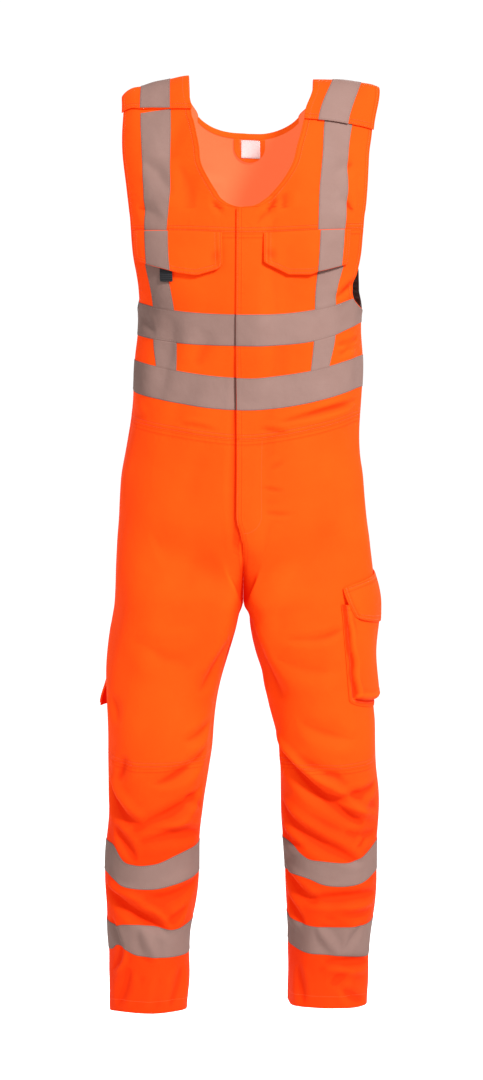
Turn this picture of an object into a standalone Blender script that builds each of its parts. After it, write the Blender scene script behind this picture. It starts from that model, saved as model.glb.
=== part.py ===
"""High-visibility bib overalls, filled out and open as if worn, with nobody inside.

Frame: metres, +Z up, the front faces -Y, +X is the wearer's left. The origin lies midway between the two
shoulder straps, where the wearer's shoulders carry them.

The cloth follows two forms. The bodice is a ring at each level whose depth closes over the shoulders in an
arch. The trousers start as the same ring and part into two legs. A place on a form has two numbers:
  way    how far round: 0 centre front (or centre back), 1 side seam. On a leg 0 is the inseam in front,
         1 the outseam and 2 the inseam behind.
  run    how far up the front and down the back of the bodice, or a level on the trousers.
Every panel is a grid of such places with a thin wall behind it. Its rows follow the seams and the edges of
the tapes, and what is sewn on a panel is made from the panel's own places, moved out.
"""

import math

import bpy
import numpy as np

# ---------------------------------------------------------------- driving dimensions, metres
WALL = 0.0015            # thickness of one layer of cloth
SEAM = 0.0003            # gap between neighbouring pieces
TAPE_WALL = 0.0010       # thickness of the reflective tape
FLAP_WALL = 0.0020       # a flap is two layers
SEAM_WAY = 0.0003        # half a seam's gap as a share of the way round
WAY_LENGTH = 0.26        # length of one unit of way, about the same on bodice and legs

SPRING = -0.300          # level where the shoulder arch starts
CROWN = 0.014            # top of the arch beside the neck
OVER = 0.360             # run from the spring line to the crown
ARCH = 2.2               # roundness of the shoulder arch, 2 is an ellipse
RING = 2.4               # roundness of a bodice ring
LEG_RING = 2.2           # roundness of a leg ring

FORK_TOP = -0.700        # level where the trousers start to part
CROTCH = -0.848          # level of the crotch
FORK_SPREAD = 0.13       # way over which the crotch curve stays sharp

OVERLAP = 0.019          # the left front laps this far over the right one
OVERLAP_LIFT = 0.0024    # and stands out by this much there
OVERLAP_FADE = (0.014, 0.045)      # distances from the centre between which it comes down to the form
FLY_END = -0.705         # level where the fly ends
FLY_FADE = 0.020         # height over which its lap narrows above that level and its lift fades below it

STRAP_LIFT = 0.0037      # how far the straps' ends stand out over the front panels and their tape
FLAP_STAND = 0.0065      # how far a chest flap's lower edge stands off
POCKET_DEPTH = 0.013     # how far the thigh pocket stands off the leg
POCKET_FLAP_STAND = 0.0125
RULER_DEPTH = 0.006      # how far the ruler pocket stands off the leg
RULER_FLARE = 0.014      # and its free corner

SIDES = {"right": -1, "left": 1}
NAMES = {-1: "right", 1: "left"}


def table(names, *rows):
    """Named columns of numbers, with the rows sorted by the first column."""
    values = np.array(sorted(rows), dtype=float).T
    return dict(zip(names.split(), values))


def read(tab, name, at):
    """A smooth curve through one column: cubic steps whose slopes are taken from each row's neighbours."""
    key, values = next(iter(tab.values())), tab[name]
    slopes = np.gradient(values, key)
    i = np.clip(np.searchsorted(key, at) - 1, 0, len(key) - 2)
    step = key[i + 1] - key[i]
    u = np.clip((at - key[i]) / step, 0.0, 1.0)
    start = (1 + 2 * u) * (1 - u) ** 2 * values[i] + u * (1 - u) ** 2 * step * slopes[i]
    end = u ** 2 * (3 - 2 * u) * values[i + 1] + u ** 2 * (u - 1) * step * slopes[i + 1]
    return start + end


# ---------------------------------------------------------------- tables of sizes
# Rings of the bodice and hips: half width, and how far the front and the back stand from the side seams.
BODY = table(
    "level centre half_width front back",
    (0.020, 0.0000, 0.2260, 0.118, 0.112),
    (-0.100, 0.0000, 0.2210, 0.122, 0.120),
    (-0.200, 0.0000, 0.2120, 0.125, 0.124),
    (-0.280, 0.0000, 0.2030, 0.127, 0.122),
    (-0.330, 0.0010, 0.1940, 0.128, 0.118),
    (-0.365, 0.0018, 0.1845, 0.128, 0.115),
    (-0.400, 0.0015, 0.1835, 0.128, 0.112),
    (-0.440, -0.0005, 0.1865, 0.128, 0.110),
    (-0.480, -0.0030, 0.1890, 0.128, 0.108),
    (-0.520, -0.0045, 0.1905, 0.127, 0.108),
    (-0.560, -0.0065, 0.1935, 0.125, 0.112),
    (-0.600, -0.0080, 0.1980, 0.124, 0.120),
    (-0.640, -0.0085, 0.2040, 0.124, 0.129),
    (-0.680, -0.0085, 0.2070, 0.123, 0.136),
    (-0.720, -0.0085, 0.2090, 0.121, 0.140),
    (-0.760, -0.0085, 0.2125, 0.118, 0.139),
    (-0.800, -0.0085, 0.2160, 0.114, 0.134),
    (-0.850, -0.0085, 0.2185, 0.109, 0.125),
)
# Height of the shoulder line at a distance from the centre: straps slope outwards and droop at the edge.
SHOULDER = table(
    "across right left",
    (0.050, 0.0180, 0.0140), (0.100, 0.0145, 0.0125), (0.130, 0.0085, 0.0110), (0.155, 0.0035, 0.0090),
    (0.175, -0.0025, 0.0065), (0.190, -0.0060, 0.0045), (0.200, -0.0130, 0.0025), (0.212, -0.0300, -0.0020),
)
# Front neckline: half width of the opening, and the front armhole as a share of the way to the side seam.
FRONT_EDGES = table(
    "level neck armhole_right armhole_left",
    (0.014, 0.099, 0.692, 0.755), (-0.010, 0.095, 0.696, 0.740), (-0.030, 0.092, 0.708, 0.722),
    (-0.045, 0.091, 0.716, 0.712),
    (-0.070, 0.086, 0.718, 0.706), (-0.095, 0.079, 0.712, 0.690), (-0.125, 0.074, 0.702, 0.688),
    (-0.150, 0.061, 0.696, 0.688), (-0.170, 0.046, 0.694, 0.686), (-0.185, 0.031, 0.692, 0.684),
    (-0.195, 0.016, 0.691, 0.680), (-0.1985, 0.004, 0.690, 0.678), (-0.235, 0.004, 0.690, 0.676),
    (-0.280, 0.004, 0.702, 0.680), (-0.305, 0.004, 0.712, 0.664), (-0.325, 0.004, 0.742, 0.640),
    (-0.340, 0.004, 0.790, 0.668), (-0.352, 0.004, 0.850, 0.740), (-0.360, 0.004, 0.915, 0.850),
    (-0.366, 0.004, 1.000, 1.000), (-0.380, 0.004, 1.000, 1.000), (-0.600, 0.004, 1.000, 1.000),
)
# Edges of the elastic insert below the back armhole, as shares of the way from centre back to the side seam.
BACK_EDGES = table(
    "level armhole insert",
    (0.014, 0.690, 0.690), (-0.045, 0.660, 0.660), (-0.120, 0.590, 0.590), (-0.200, 0.560, 0.560),
    (-0.260, 0.600, 0.585), (-0.285, 0.700, 0.635), (-0.300, 0.735, 0.640), (-0.320, 0.765, 0.660),
    (-0.340, 0.810, 0.700), (-0.353, 0.890, 0.735), (-0.365, 1.000, 0.780), (-0.380, 1.000, 0.840),
    (-0.395, 1.000, 0.920), (-0.401, 1.000, 1.000), (-0.420, 1.000, 1.000), (-0.600, 1.000, 1.000),
)
INSERT_TOP = -0.285      # level of the insert's upper tip
INSERT_LEAST = 0.030     # way at which the insert's lower tip is cut off
# Upright edges on the front, as distances from the centre: chest flap and reflective brace, on each side.
FRONT_LINES = table(
    "level flap_in_right brace_in_right brace_out_right flap_out_right "
    "flap_in_left brace_in_left brace_out_left flap_out_left",
    (0.014, 0.100, 0.127, 0.175, 0.185, 0.100, 0.138, 0.184, 0.190),
    (-0.050, 0.100, 0.127, 0.175, 0.185, 0.100, 0.124, 0.170, 0.180),
    (-0.106, 0.095, 0.128, 0.171, 0.185, 0.090, 0.120, 0.162, 0.172),
    (-0.170, 0.070, 0.126, 0.167, 0.184, 0.060, 0.113, 0.159, 0.165),
    (-0.231, 0.044, 0.130, 0.164, 0.180, 0.028, 0.111, 0.154, 0.160),
    (-0.290, 0.045, 0.131, 0.164, 0.175, 0.026, 0.112, 0.153, 0.159),
    (-0.330, 0.046, 0.125, 0.158, 0.171, 0.030, 0.108, 0.142, 0.158),
    (-0.420, 0.048, 0.120, 0.156, 0.172, 0.034, 0.104, 0.139, 0.158),
    (-0.455, 0.050, 0.118, 0.151, 0.172, 0.038, 0.102, 0.133, 0.156),
    (-0.570, 0.055, 0.116, 0.150, 0.172, 0.042, 0.100, 0.132, 0.154),
)
# The braces on the back.
BACK_LINES = table(
    "level brace_in_right brace_out_right brace_in_left brace_out_left",
    (0.014, 0.127, 0.175, 0.138, 0.184), (-0.100, 0.118, 0.165, 0.120, 0.167),
    (-0.200, 0.102, 0.149, 0.102, 0.149), (-0.330, 0.094, 0.141, 0.094, 0.141),
    (-0.450, 0.092, 0.139, 0.092, 0.139), (-0.570, 0.092, 0.139, 0.092, 0.139),
)
# Back neckline: its height at a distance from the centre, up to the foot of the straps.
BACK_NECK = table(
    "across height",
    (0.000, -0.0720), (0.030, -0.0700), (0.050, -0.0650),
    (0.066, -0.0575), (0.078, -0.0490), (0.084, -0.0430),
)
# The front neckline: levels of its foot, of its curve and of where it turns upright, and the half widths
# between which it turns into the lapped front.
NECK_LEVELS = (-0.1990, -0.1935, -0.165)
NECK_CLOSED = (0.004, 0.020)
YOKE_LINE_SHARE = 0.4    # the yoke's second line lies at this share of the way from neckline to brace
STRAP_SHORT = 0.012      # how far below the crown the front panels end, under the straps
FACING = 0.008           # width of the facing inside the back neckline
LOOP_FOOT = -0.125       # level just below the hanger loop
STRAP_FOOT = -0.043      # height where the back straps leave the neckline
STRAP_IN = 0.084         # and their inner edge there
STRAP_CROWN = {"right": 0.0975, "left": 0.1065}      # inner edge of each strap on its crown
# Level lines round the bodice: at centre front, at each side seam, at centre back, and how late they rise.
LINES = {
    "waist": (-0.571, -0.546, -0.537, -0.545, 0.55),
    "lower_band_foot": (-0.523, -0.497, -0.490, -0.500, 0.70),
    "lower_band_top": (-0.471, -0.446, -0.439, -0.450, 0.70),
    "upper_band_foot": (-0.419, -0.405, -0.384, -0.404, 1.20),
    "upper_band_top": (-0.369, -0.351, -0.337, -0.354, 1.10),
    "flap_foot": (-0.306, -0.300, -0.300, -0.300, 1.00),
    "insert_top": (-0.285, -0.285, -0.285, -0.285, 1.00),
    "yoke": (-0.238, -0.229, -0.227, -0.229, 0.45),
}
SOFT = 0.006             # keeps such a line from turning sharply at the centre
# Where the shoulder flaps end in front: heights at the flap's inner and outer edge.
FLAP_END = {"right": (-0.040, -0.026), "left": (-0.053, -0.050)}
# A chest flap's lower edge: levels at its inner corner, both ends of its point, and its outer corner.
FLAP_POINTS = {"right": (-0.290, -0.304, -0.303, -0.283), "left": (-0.285, -0.304, -0.303, -0.289)}
FLAP_POINT_SHARES = (0.0, 0.35, 0.62, 1.0)           # and where these lie across the flap
FLAP_START = 0.0006      # how far a flap stands off at the seam it hangs from
FLAP_ROWS = 4            # rows of cells down a chest flap
# The black tab: across, and up.
TAB_ACROSS, TAB_LEVELS, TAB_LIFT = (0.119, 0.136), (-0.316, -0.297), 0.0016
# The plain label and the hanger loop inside the back neckline.
TRIM_WALL = 0.0010
LABEL_ACROSS, LABEL_LEVELS = (-0.011, 0.020), (-0.110, -0.081)
LOOP_TOP, LOOP_DROP, LOOP_RADIUS, LOOP_WIDTH, LOOP_CENTRE = -0.0795, 0.038, 0.026, 0.009, 0.002

# Inner and outer edge of each leg, and how far its front and back stand from the side seam.
LEGS = table(
    "level right_outer right_inner left_inner left_outer front back",
    (-0.760, -0.2223, -0.0095, -0.0075, 0.2027, 0.112, 0.134),
    (-0.800, -0.2255, -0.0095, -0.0075, 0.2065, 0.112, 0.130),
    (-0.840, -0.2278, -0.0095, -0.0075, 0.2078, 0.111, 0.125),
    (-0.848, -0.2282, -0.0105, -0.0060, 0.2080, 0.110, 0.124),
    (-0.862, -0.2290, -0.0157, 0.0010, 0.2085, 0.109, 0.121),
    (-0.900, -0.2330, -0.0242, 0.0075, 0.2095, 0.106, 0.115),
    (-0.940, -0.2345, -0.0370, 0.0165, 0.2110, 0.103, 0.110),
    (-0.980, -0.2362, -0.0458, 0.0262, 0.2125, 0.099, 0.105),
    (-1.020, -0.2382, -0.0515, 0.0325, 0.2148, 0.096, 0.098),
    (-1.060, -0.2395, -0.0562, 0.0390, 0.2165, 0.094, 0.091),
    (-1.100, -0.2399, -0.0620, 0.0452, 0.2158, 0.091, 0.085),
    (-1.140, -0.2404, -0.0712, 0.0503, 0.2155, 0.088, 0.081),
    (-1.180, -0.2416, -0.0780, 0.0540, 0.2172, 0.084, 0.081),
    (-1.220, -0.2413, -0.0810, 0.0562, 0.2177, 0.081, 0.084),
    (-1.260, -0.2425, -0.0838, 0.0592, 0.2183, 0.079, 0.087),
    (-1.300, -0.2433, -0.0860, 0.0611, 0.2198, 0.078, 0.088),
    (-1.340, -0.2446, -0.0892, 0.0622, 0.2198, 0.077, 0.087),
    (-1.380, -0.2435, -0.0935, 0.0648, 0.2165, 0.077, 0.085),
    (-1.420, -0.2420, -0.0988, 0.0672, 0.2108, 0.077, 0.083),
    (-1.460, -0.2395, -0.0998, 0.0665, 0.2080, 0.078, 0.082),
    (-1.500, -0.2408, -0.1005, 0.0680, 0.2075, 0.079, 0.082),
    (-1.545, -0.2412, -0.1050, 0.0685, 0.2045, 0.080, 0.083),
    (-1.580, -0.2412, -0.1055, 0.0685, 0.2035, 0.080, 0.083),
)
# Level lines round each leg: knee seam, hem, and the edges of its two tapes.
LEG_LINES = {
    "right": table(
        "way upper_tape_top upper_tape_foot lower_tape_top lower_tape_foot knee hem",
        (0.00, -1.264, -1.318, -1.400, -1.455, -1.114, -1.5560),
        (0.12, -1.266, -1.319, -1.399, -1.454, -1.115, -1.5510),
        (0.33, -1.276, -1.325, -1.403, -1.451, -1.118, -1.5460),
        (0.48, -1.288, -1.331, -1.397, -1.449, -1.119, -1.5455),
        (0.60, -1.290, -1.330, -1.394, -1.446, -1.120, -1.5450),
        (0.69, -1.284, -1.327, -1.396, -1.438, -1.119, -1.5465),
        (0.76, -1.264, -1.320, -1.401, -1.434, -1.117, -1.5485),
        (0.86, -1.259, -1.313, -1.399, -1.446, -1.114, -1.5530),
        (1.00, -1.262, -1.314, -1.400, -1.452, -1.113, -1.5580),
        (1.25, -1.270, -1.321, -1.403, -1.454, -1.115, -1.5640),
        (1.50, -1.276, -1.327, -1.405, -1.457, -1.117, -1.5670),
        (1.75, -1.271, -1.323, -1.403, -1.456, -1.115, -1.5630),
        (2.00, -1.264, -1.318, -1.400, -1.455, -1.114, -1.5560),
    ),
    "left": table(
        "way upper_tape_top upper_tape_foot lower_tape_top lower_tape_foot knee hem",
        (0.00, -1.254, -1.310, -1.388, -1.439, -1.119, -1.5480),
        (0.12, -1.254, -1.311, -1.389, -1.439, -1.121, -1.5440),
        (0.24, -1.262, -1.309, -1.394, -1.442, -1.122, -1.5400),
        (0.36, -1.280, -1.314, -1.397, -1.444, -1.123, -1.5375),
        (0.44, -1.282, -1.322, -1.397, -1.444, -1.123, -1.5370),
        (0.64, -1.286, -1.326, -1.398, -1.449, -1.123, -1.5385),
        (0.76, -1.275, -1.321, -1.399, -1.454, -1.122, -1.5410),
        (0.88, -1.262, -1.312, -1.399, -1.457, -1.121, -1.5440),
        (1.00, -1.262, -1.313, -1.399, -1.456, -1.119, -1.5490),
        (1.25, -1.269, -1.319, -1.401, -1.455, -1.120, -1.5550),
        (1.50, -1.273, -1.324, -1.401, -1.453, -1.121, -1.5590),
        (1.75, -1.264, -1.318, -1.396, -1.447, -1.120, -1.5550),
        (2.00, -1.254, -1.310, -1.388, -1.439, -1.119, -1.5480),
    ),
}
# The largest folds: from one place to another on a leg, how wide and how deep. A negative depth is a ridge.
FOLDS = {
    "right": table(
        "way_a level_a way_b level_b width depth",
        (0.10, -1.095, 0.62, -1.150, 0.016, 0.006), (0.98, -1.155, 0.50, -1.215, 0.017, 0.008),
        (0.50, -1.215, 0.06, -1.155, 0.015, 0.006), (0.95, -1.225, 0.62, -1.268, 0.014, 0.006),
        (0.90, -1.365, 0.30, -1.420, 0.015, 0.008), (0.40, -1.372, 0.06, -1.330, 0.013, 0.005),
        (0.55, -1.240, 0.05, -1.232, 0.013, 0.005), (1.06, -1.170, 1.85, -1.120, 0.017, 0.008),
        (1.12, -1.240, 1.62, -1.190, 0.015, 0.007), (1.90, -1.200, 1.35, -1.260, 0.015, 0.006),
        (1.10, -1.385, 1.75, -1.420, 0.015, 0.006), (1.20, -0.870, 1.85, -0.905, 0.016, 0.006),
        (0.04, -0.880, 0.30, -0.800, 0.014, 0.005),
    ),
    "left": table(
        "way_a level_a way_b level_b width depth",
        (0.03, -1.092, 0.32, -1.130, 0.015, 0.007), (0.30, -1.125, 0.88, -1.212, 0.017, 0.010),
        (0.35, -1.165, 0.85, -1.165, 0.014, -0.004), (0.05, -1.195, 0.80, -1.270, 0.015, 0.006),
        (0.08, -1.310, 0.45, -1.372, 0.014, 0.007), (0.40, -1.372, 0.92, -1.355, 0.014, 0.005),
        (0.55, -1.470, 0.96, -1.462, 0.014, 0.005), (1.05, -1.150, 1.80, -1.115, 0.017, 0.008),
        (1.15, -1.230, 1.85, -1.180, 0.015, 0.007), (1.10, -1.260, 1.60, -1.300, 0.014, 0.005),
        (1.15, -1.380, 1.80, -1.410, 0.015, 0.006), (1.20, -0.872, 1.85, -0.908, 0.016, 0.006),
        (0.04, -0.875, 0.30, -0.795, 0.014, 0.005),
    ),
}
RIDGE_SHARE, RIDGE_SHIFT = 0.45, 1.7     # each trough pushes up a ridge beside it

ORANGE = (1.00, 0.155, 0.015)
TAPE_GREY = (0.52, 0.41, 0.38)
BLACK = (0.012, 0.012, 0.014)
LABEL_WHITE = (0.86, 0.80, 0.80)


# ---------------------------------------------------------------- the two forms
def bend(value, power):
    """The power of a number's size, with the number's own sign."""
    return np.sign(value) * np.abs(value) ** power


def smoothstep(low, high, value):
    """0 below low, 1 above high, and a soft S between them."""
    u = np.clip((value - low) / (high - low), 0.0, 1.0)
    return u * u * (3 - 2 * u)


def height_of(run):
    """The height a run reaches at the neck: level up to the spring line, then along the arch and down."""
    run = np.minimum(run, 2 * OVER - run)
    angle = np.clip(run / OVER, 0.0, 1.0) * math.pi / 2
    return SPRING + np.minimum(run, 0.0) + (CROWN - SPRING) * np.sin(angle) ** (2 / ARCH)


def run_of(height):
    """The run on the front at which the bodice has this height beside the neck."""
    share = np.clip((height - SPRING) / (CROWN - SPRING), 0.0, 1.0)
    return np.minimum(height - SPRING, 0.0) + OVER * np.arcsin(share ** (ARCH / 2)) / (math.pi / 2)


def bodice(side, way, run):
    """A point of the bodice: a superellipse ring whose depth closes over the shoulder as the run climbs."""
    height = height_of(run)
    across = read(BODY, "half_width", height) * bend(np.sin(way * math.pi / 2), 2 / RING)
    x = read(BODY, "centre", height) + side * across
    rise = (np.maximum(height, SPRING) - SPRING) / (CROWN - SPRING)
    top = read(SHOULDER, NAMES[side], np.abs(x))
    z = np.minimum(height, SPRING) + rise * (top - SPRING)
    lean = np.cos(np.clip(run / OVER, 0.0, 2.0) * math.pi / 2)
    depth = np.where(run < OVER, read(BODY, "front", height), read(BODY, "back", height))
    y = -depth * bend(lean, 2 / ARCH) * bend(np.cos(way * math.pi / 2), 2 / RING)
    return np.stack([x, y, z], axis=-1)


def hip_ring(side, way, level):
    """The same ring, all the way from centre front to centre back."""
    angle = way * math.pi / 2
    across = read(BODY, "half_width", level) * bend(np.sin(angle), 2 / RING)
    x = read(BODY, "centre", level) + side * across
    depth = np.where(way < 1, read(BODY, "front", level), read(BODY, "back", level))
    return np.stack([x, -depth * bend(np.cos(angle), 2 / RING), level], axis=-1)


def leg_ring(side, way, level):
    """A ring round one leg, from the inseam over the front to the outseam and back behind."""
    name = NAMES[side]
    inner, outer = read(LEGS, name + "_inner", level), read(LEGS, name + "_outer", level)
    angle = way * math.pi
    x = (inner + outer) / 2 + (inner - outer) / 2 * bend(np.cos(angle), 2 / LEG_RING)
    depth = np.where(np.sin(angle) > 0, read(LEGS, "front", level), read(LEGS, "back", level))
    return np.stack([x, -depth * bend(np.sin(angle), 2 / LEG_RING), level], axis=-1)


def bare_leg(side, way, level):
    """Half of the trousers without folds: the hip ring turns into the leg ring from the fork to the crotch.

    Near the centre seam the change follows a quarter circle, which gives the seam its curve under the crotch.
    """
    down = np.clip((FORK_TOP - level) / (FORK_TOP - CROTCH), 0.0, 1.0)
    from_seam = np.minimum(np.abs(way), np.abs(2 - way))
    sharp = np.exp(-(from_seam / FORK_SPREAD) ** 2)
    share = sharp * (1 - np.sqrt(1 - down ** 2)) + (1 - sharp) * down * down * (3 - 2 * down)
    share = share[..., None]
    return (1 - share) * hip_ring(side, way, level) + share * leg_ring(side, way, level)


def fold_relief(folds, way, level):
    """The sum of all folds: each is a soft trough along a line, fading at its ends, with ridges beside it."""
    total = np.zeros_like(way)
    for way_a, level_a, way_b, level_b, width, depth in zip(*folds.values()):
        start = np.array([way_a * WAY_LENGTH, level_a])
        along = np.array([way_b * WAY_LENGTH, level_b]) - start
        length = np.hypot(*along)
        along = along / length
        offset_x, offset_z = way * WAY_LENGTH - start[0], level - start[1]
        share = (offset_x * along[0] + offset_z * along[1]) / length
        beside = (offset_x * along[1] - offset_z * along[0]) / width
        fade = np.sin(np.clip(share, 0.0, 1.0) * math.pi) ** 0.7
        shape = np.exp(-beside ** 2) - RIDGE_SHARE * np.exp(-(np.abs(beside) - RIDGE_SHIFT) ** 2)
        total -= depth * fade * shape
    return total


def outward(place, side, way, run):
    """The unit vector that points out of a form, from small steps along way and run."""
    small = 1e-4
    across = place(way + small, run) - place(way - small, run)
    up = place(way, run + small) - place(way, run - small)
    normal = side * np.cross(across, up)
    return normal / np.maximum(np.linalg.norm(normal, axis=-1, keepdims=True), 1e-12)


def bodice_form(side):
    """The bodice's form for one side of the body."""
    return lambda way, run: bodice(side, way, run)


def leg_form(side):
    """The trousers' form for one leg, with its folds."""
    folds = FOLDS[NAMES[side]]

    def bare(way, level):
        return bare_leg(side, way, level)

    def folded(way, level):
        relief = fold_relief(folds, way, level)[..., None]
        return bare(way, level) + outward(bare, side, way, level) * relief

    return folded


def moved_out(place, side, way, run, out):
    """Places of a form, moved out of it by a distance."""
    out = np.broadcast_to(np.asarray(out, dtype=float), way.shape)[..., None]
    return place(way, run) + outward(place, side, way, run) * out


# ---------------------------------------------------------------- lines and grids of places
def level_line(name, side):
    """A line round the bodice: it leaves the centre at one level and reaches the side seam at another."""
    front, right, left, back, late = LINES[name]
    beside = right if side < 0 else left

    def line(way, behind=False):
        swing = (1 - np.cos(np.clip(np.abs(way), 0.0, 1.0) * math.pi)) / 2
        share = ((swing + SOFT) ** late - SOFT ** late) / ((1 + SOFT) ** late - SOFT ** late)
        centre = back if behind else front
        return centre + (beside - centre) * share

    return line


def behind(line):
    """A line round the bodice, read on the back."""
    return lambda way: line(way, behind=True)


def level_row(level):
    """A line at one level."""
    return lambda way: level + 0 * way


def leg_line(name, side):
    """A line round a leg, or the waist line, as a function of the way."""
    if name == "waist":
        line = level_line(name, side)
        return lambda way: np.where(way < 1, line(way), line(2 - way, behind=True))
    if name in LEVELS:
        return level_row(LEVELS[name])
    return lambda way: read(LEG_LINES[NAMES[side]], name, np.clip(way, 0.0, 2.0))


def way_at(distance, level):
    """The way at which the bodice ring reaches a distance from its centre line."""
    share = np.clip(distance / read(BODY, "half_width", level), 0.0, 1.0)
    return np.arcsin(share ** (RING / 2)) * 2 / math.pi


def spread(anchors, cells):
    """Values between each pair of neighbouring anchors, each pair cut into its own number of equal cells."""
    parts = [a + (b - a) * np.arange(n)[:, None] / n for a, b, n in zip(anchors, anchors[1:], cells)]
    return np.concatenate(parts + [anchors[-1][None]])


def weave(lines, row_cells, edges, column_cells):
    """Way and level of each point of a grid: rows lie between the lines, columns between the edges.

    A line gives a level for a way and an edge gives a way for a level, so both are worked out in turn until
    they agree.
    """
    row_marks, column_marks = np.cumsum([0] + row_cells), np.cumsum([0] + column_cells)
    level = np.linspace(lines[0](np.array(0.5)), lines[-1](np.array(0.5)), row_marks[-1] + 1)
    level = np.repeat(level[:, None], column_marks[-1] + 1, axis=1)
    for _ in range(12):
        way = spread([edge(level[:, j]) for edge, j in zip(edges, column_marks)], column_cells).T
        level = spread([line(way[i]) for line, i in zip(lines, row_marks)], row_cells)
    return way, level


def inset(way, level, top=True, foot=True, inner=True, outer=True):
    """The same grid with half a seam's gap taken off the edges that are sewn."""
    way, level = way.copy(), level.copy()
    level[0] += SEAM / 2 * foot
    level[-1] -= SEAM / 2 * top
    way[:, 0] += SEAM_WAY * inner
    way[:, -1] -= SEAM_WAY * outer
    return way, level


# ---------------------------------------------------------------- solids
FINISHES = {}


def finish(name, colour, roughness):
    """A plain Principled material."""
    if name not in FINISHES:
        material = bpy.data.materials.new(name)
        material.use_nodes = True
        shader = material.node_tree.nodes["Principled BSDF"]
        shader.inputs["Base Color"].default_value = (*colour, 1.0)
        shader.inputs["Roughness"].default_value = roughness
        shader.inputs["Metallic"].default_value = 0.0
        FINISHES[name] = material
    return FINISHES[name]


def orange():
    return finish("orange_cloth", ORANGE, 0.85)


def grey():
    return finish("reflective_tape", TAPE_GREY, 0.55)


def black():
    return finish("black_elastic", BLACK, 0.80)


def white():
    return finish("label_cloth", LABEL_WHITE, 0.70)


def solid(name, material, over, under, ring=False, cells=None):
    """One closed body between two grids of points: both faces, and a rim along every free edge.

    ring joins the last column to the first. cells says which cells of the grid there are, where not all.
    """
    rows, columns = over.shape[:2]
    index = np.arange(rows * columns).reshape(rows, columns)
    if ring:
        index = np.hstack([index, index[:, :1]])
    if cells is None:
        cells = np.ones((index.shape[0] - 1, index.shape[1] - 1), dtype=bool)
    corners = [index[:-1, :-1], index[:-1, 1:], index[1:, 1:], index[1:, :-1]]
    a, b, c, d = (corner[cells] for corner in corners)
    face = np.concatenate([np.stack([a, b, c], 1), np.stack([a, c, d], 1)])
    edges = {(p, q) for pair in ((a, b), (b, c), (c, d), (d, a)) for p, q in zip(*(x.tolist() for x in pair))}
    rim = np.array([edge for edge in sorted(edges) if edge[::-1] not in edges])
    p, q, shift = rim[:, 0], rim[:, 1], rows * columns
    triangles = np.concatenate([
        face, face[:, ::-1] + shift, np.stack([q, p, p + shift], 1), np.stack([q, p + shift, q + shift], 1),
    ])
    points = np.concatenate([over.reshape(-1, 3), under.reshape(-1, 3)])
    used, triangles = np.unique(triangles, return_inverse=True)
    points, triangles = points[used], triangles.reshape(-1, 3)
    corner = points[triangles]
    volume = np.einsum("ij,ij->i", corner[:, 0], np.cross(corner[:, 1], corner[:, 2])).sum()
    if volume < 0:
        triangles = triangles[:, ::-1]
    mesh = bpy.data.meshes.new(name)
    mesh.from_pydata(points.tolist(), [], triangles.tolist())
    mesh.materials.append(material)
    mesh.shade_smooth()
    mesh.set_sharp_from_angle(angle=math.radians(50))
    thing = bpy.data.objects.new(name, mesh)
    bpy.context.scene.collection.objects.link(thing)
    return thing


def cloth(name, material, place, side, way, run, under=-WALL, over=0.0, **shape):
    """A piece of cloth on a form, between two distances out of it."""
    faces = [moved_out(place, side, way, run, out) for out in (over, under)]
    return solid(name, material, *faces, **shape)


def tape(name, place, side, way, run, lift=0.0, **shape):
    """Reflective tape, sewn a seam's gap above the cloth."""
    return cloth(name, grey(), place, side, way, run, lift + SEAM, lift + SEAM + TAPE_WALL, **shape)


# ---------------------------------------------------------------- front of the bodice
def lap_lift(side, way, level):
    """How far the left front stands out where it laps over the right one, as far down as the fly."""
    if side < 0:
        return np.zeros_like(way)
    distance = bend(np.sin(way * math.pi / 2), 2 / RING) * read(BODY, "half_width", level)
    near_centre = 1 - smoothstep(*OVERLAP_FADE, distance)
    return OVERLAP_LIFT * near_centre * smoothstep(FLY_END - FLY_FADE, FLY_END, level)


def centre_edge(side):
    """The front panels' inner edge: the left one laps over to the right as far down as the fly goes."""
    if side < 0:
        return lambda level: way_at(0.001, level)
    return lambda level: -way_at(OVERLAP, level) * smoothstep(FLY_END, FLY_END + FLY_FADE, level)


def lap_line(level):
    """The line on the right front just beyond the left one's lap, and its mirror image on the left front."""
    return way_at(OVERLAP + 3 * SEAM, level)


def neck_edges(side):
    """The inner edge of the yoke: the neckline, coming down to the lapped centre; then the line beside it."""
    def along(closed_line, share):
        """A line at a share of the way from the neckline to the brace, and on a line of the closed front."""
        def edge(level):
            neck = np.maximum(read(FRONT_EDGES, "neck", level), NECK_CLOSED[0])
            closed = smoothstep(NECK_CLOSED[1], NECK_CLOSED[0], neck)
            neck_way = way_at(neck, level)
            neck_way = neck_way + (front_line("brace_in", side)(level) - neck_way) * share
            return (1 - closed) * neck_way + closed * closed_line(level)

        return edge

    return [along(centre_edge(side), 0.0), along(lap_line, YOKE_LINE_SHARE)]


def front_edge(side):
    """The outer edge of the front panels: the armhole, and below it the side seam."""
    return lambda level: np.clip(read(FRONT_EDGES, "armhole_" + NAMES[side], level), 0.0, 1.0)


def front_line(name, side):
    """One of the upright lines on the front."""
    return lambda level: way_at(read(FRONT_LINES, f"{name}_{NAMES[side]}", level), level)


BIB_LINES = ["waist", "lower_band_foot", "lower_band_top", "upper_band_foot", "upper_band_top",
             "flap_foot", "yoke"]
BIB_ROWS = [2, 2, 2, 2, 3, 2]
BIB_EDGES = ["centre", "lap", "flap_in", "brace_in", "brace_out", "flap_out", "side"]
BIB_COLUMNS = [2, 1, 2, 2, 1, 3]
BIB_MARKS = dict(zip(BIB_EDGES, np.cumsum([0] + BIB_COLUMNS).tolist()))
YOKE_ROWS = [2, 2, 3, 5]
YOKE_COLUMNS = [2, 2, 2, 2]


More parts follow.
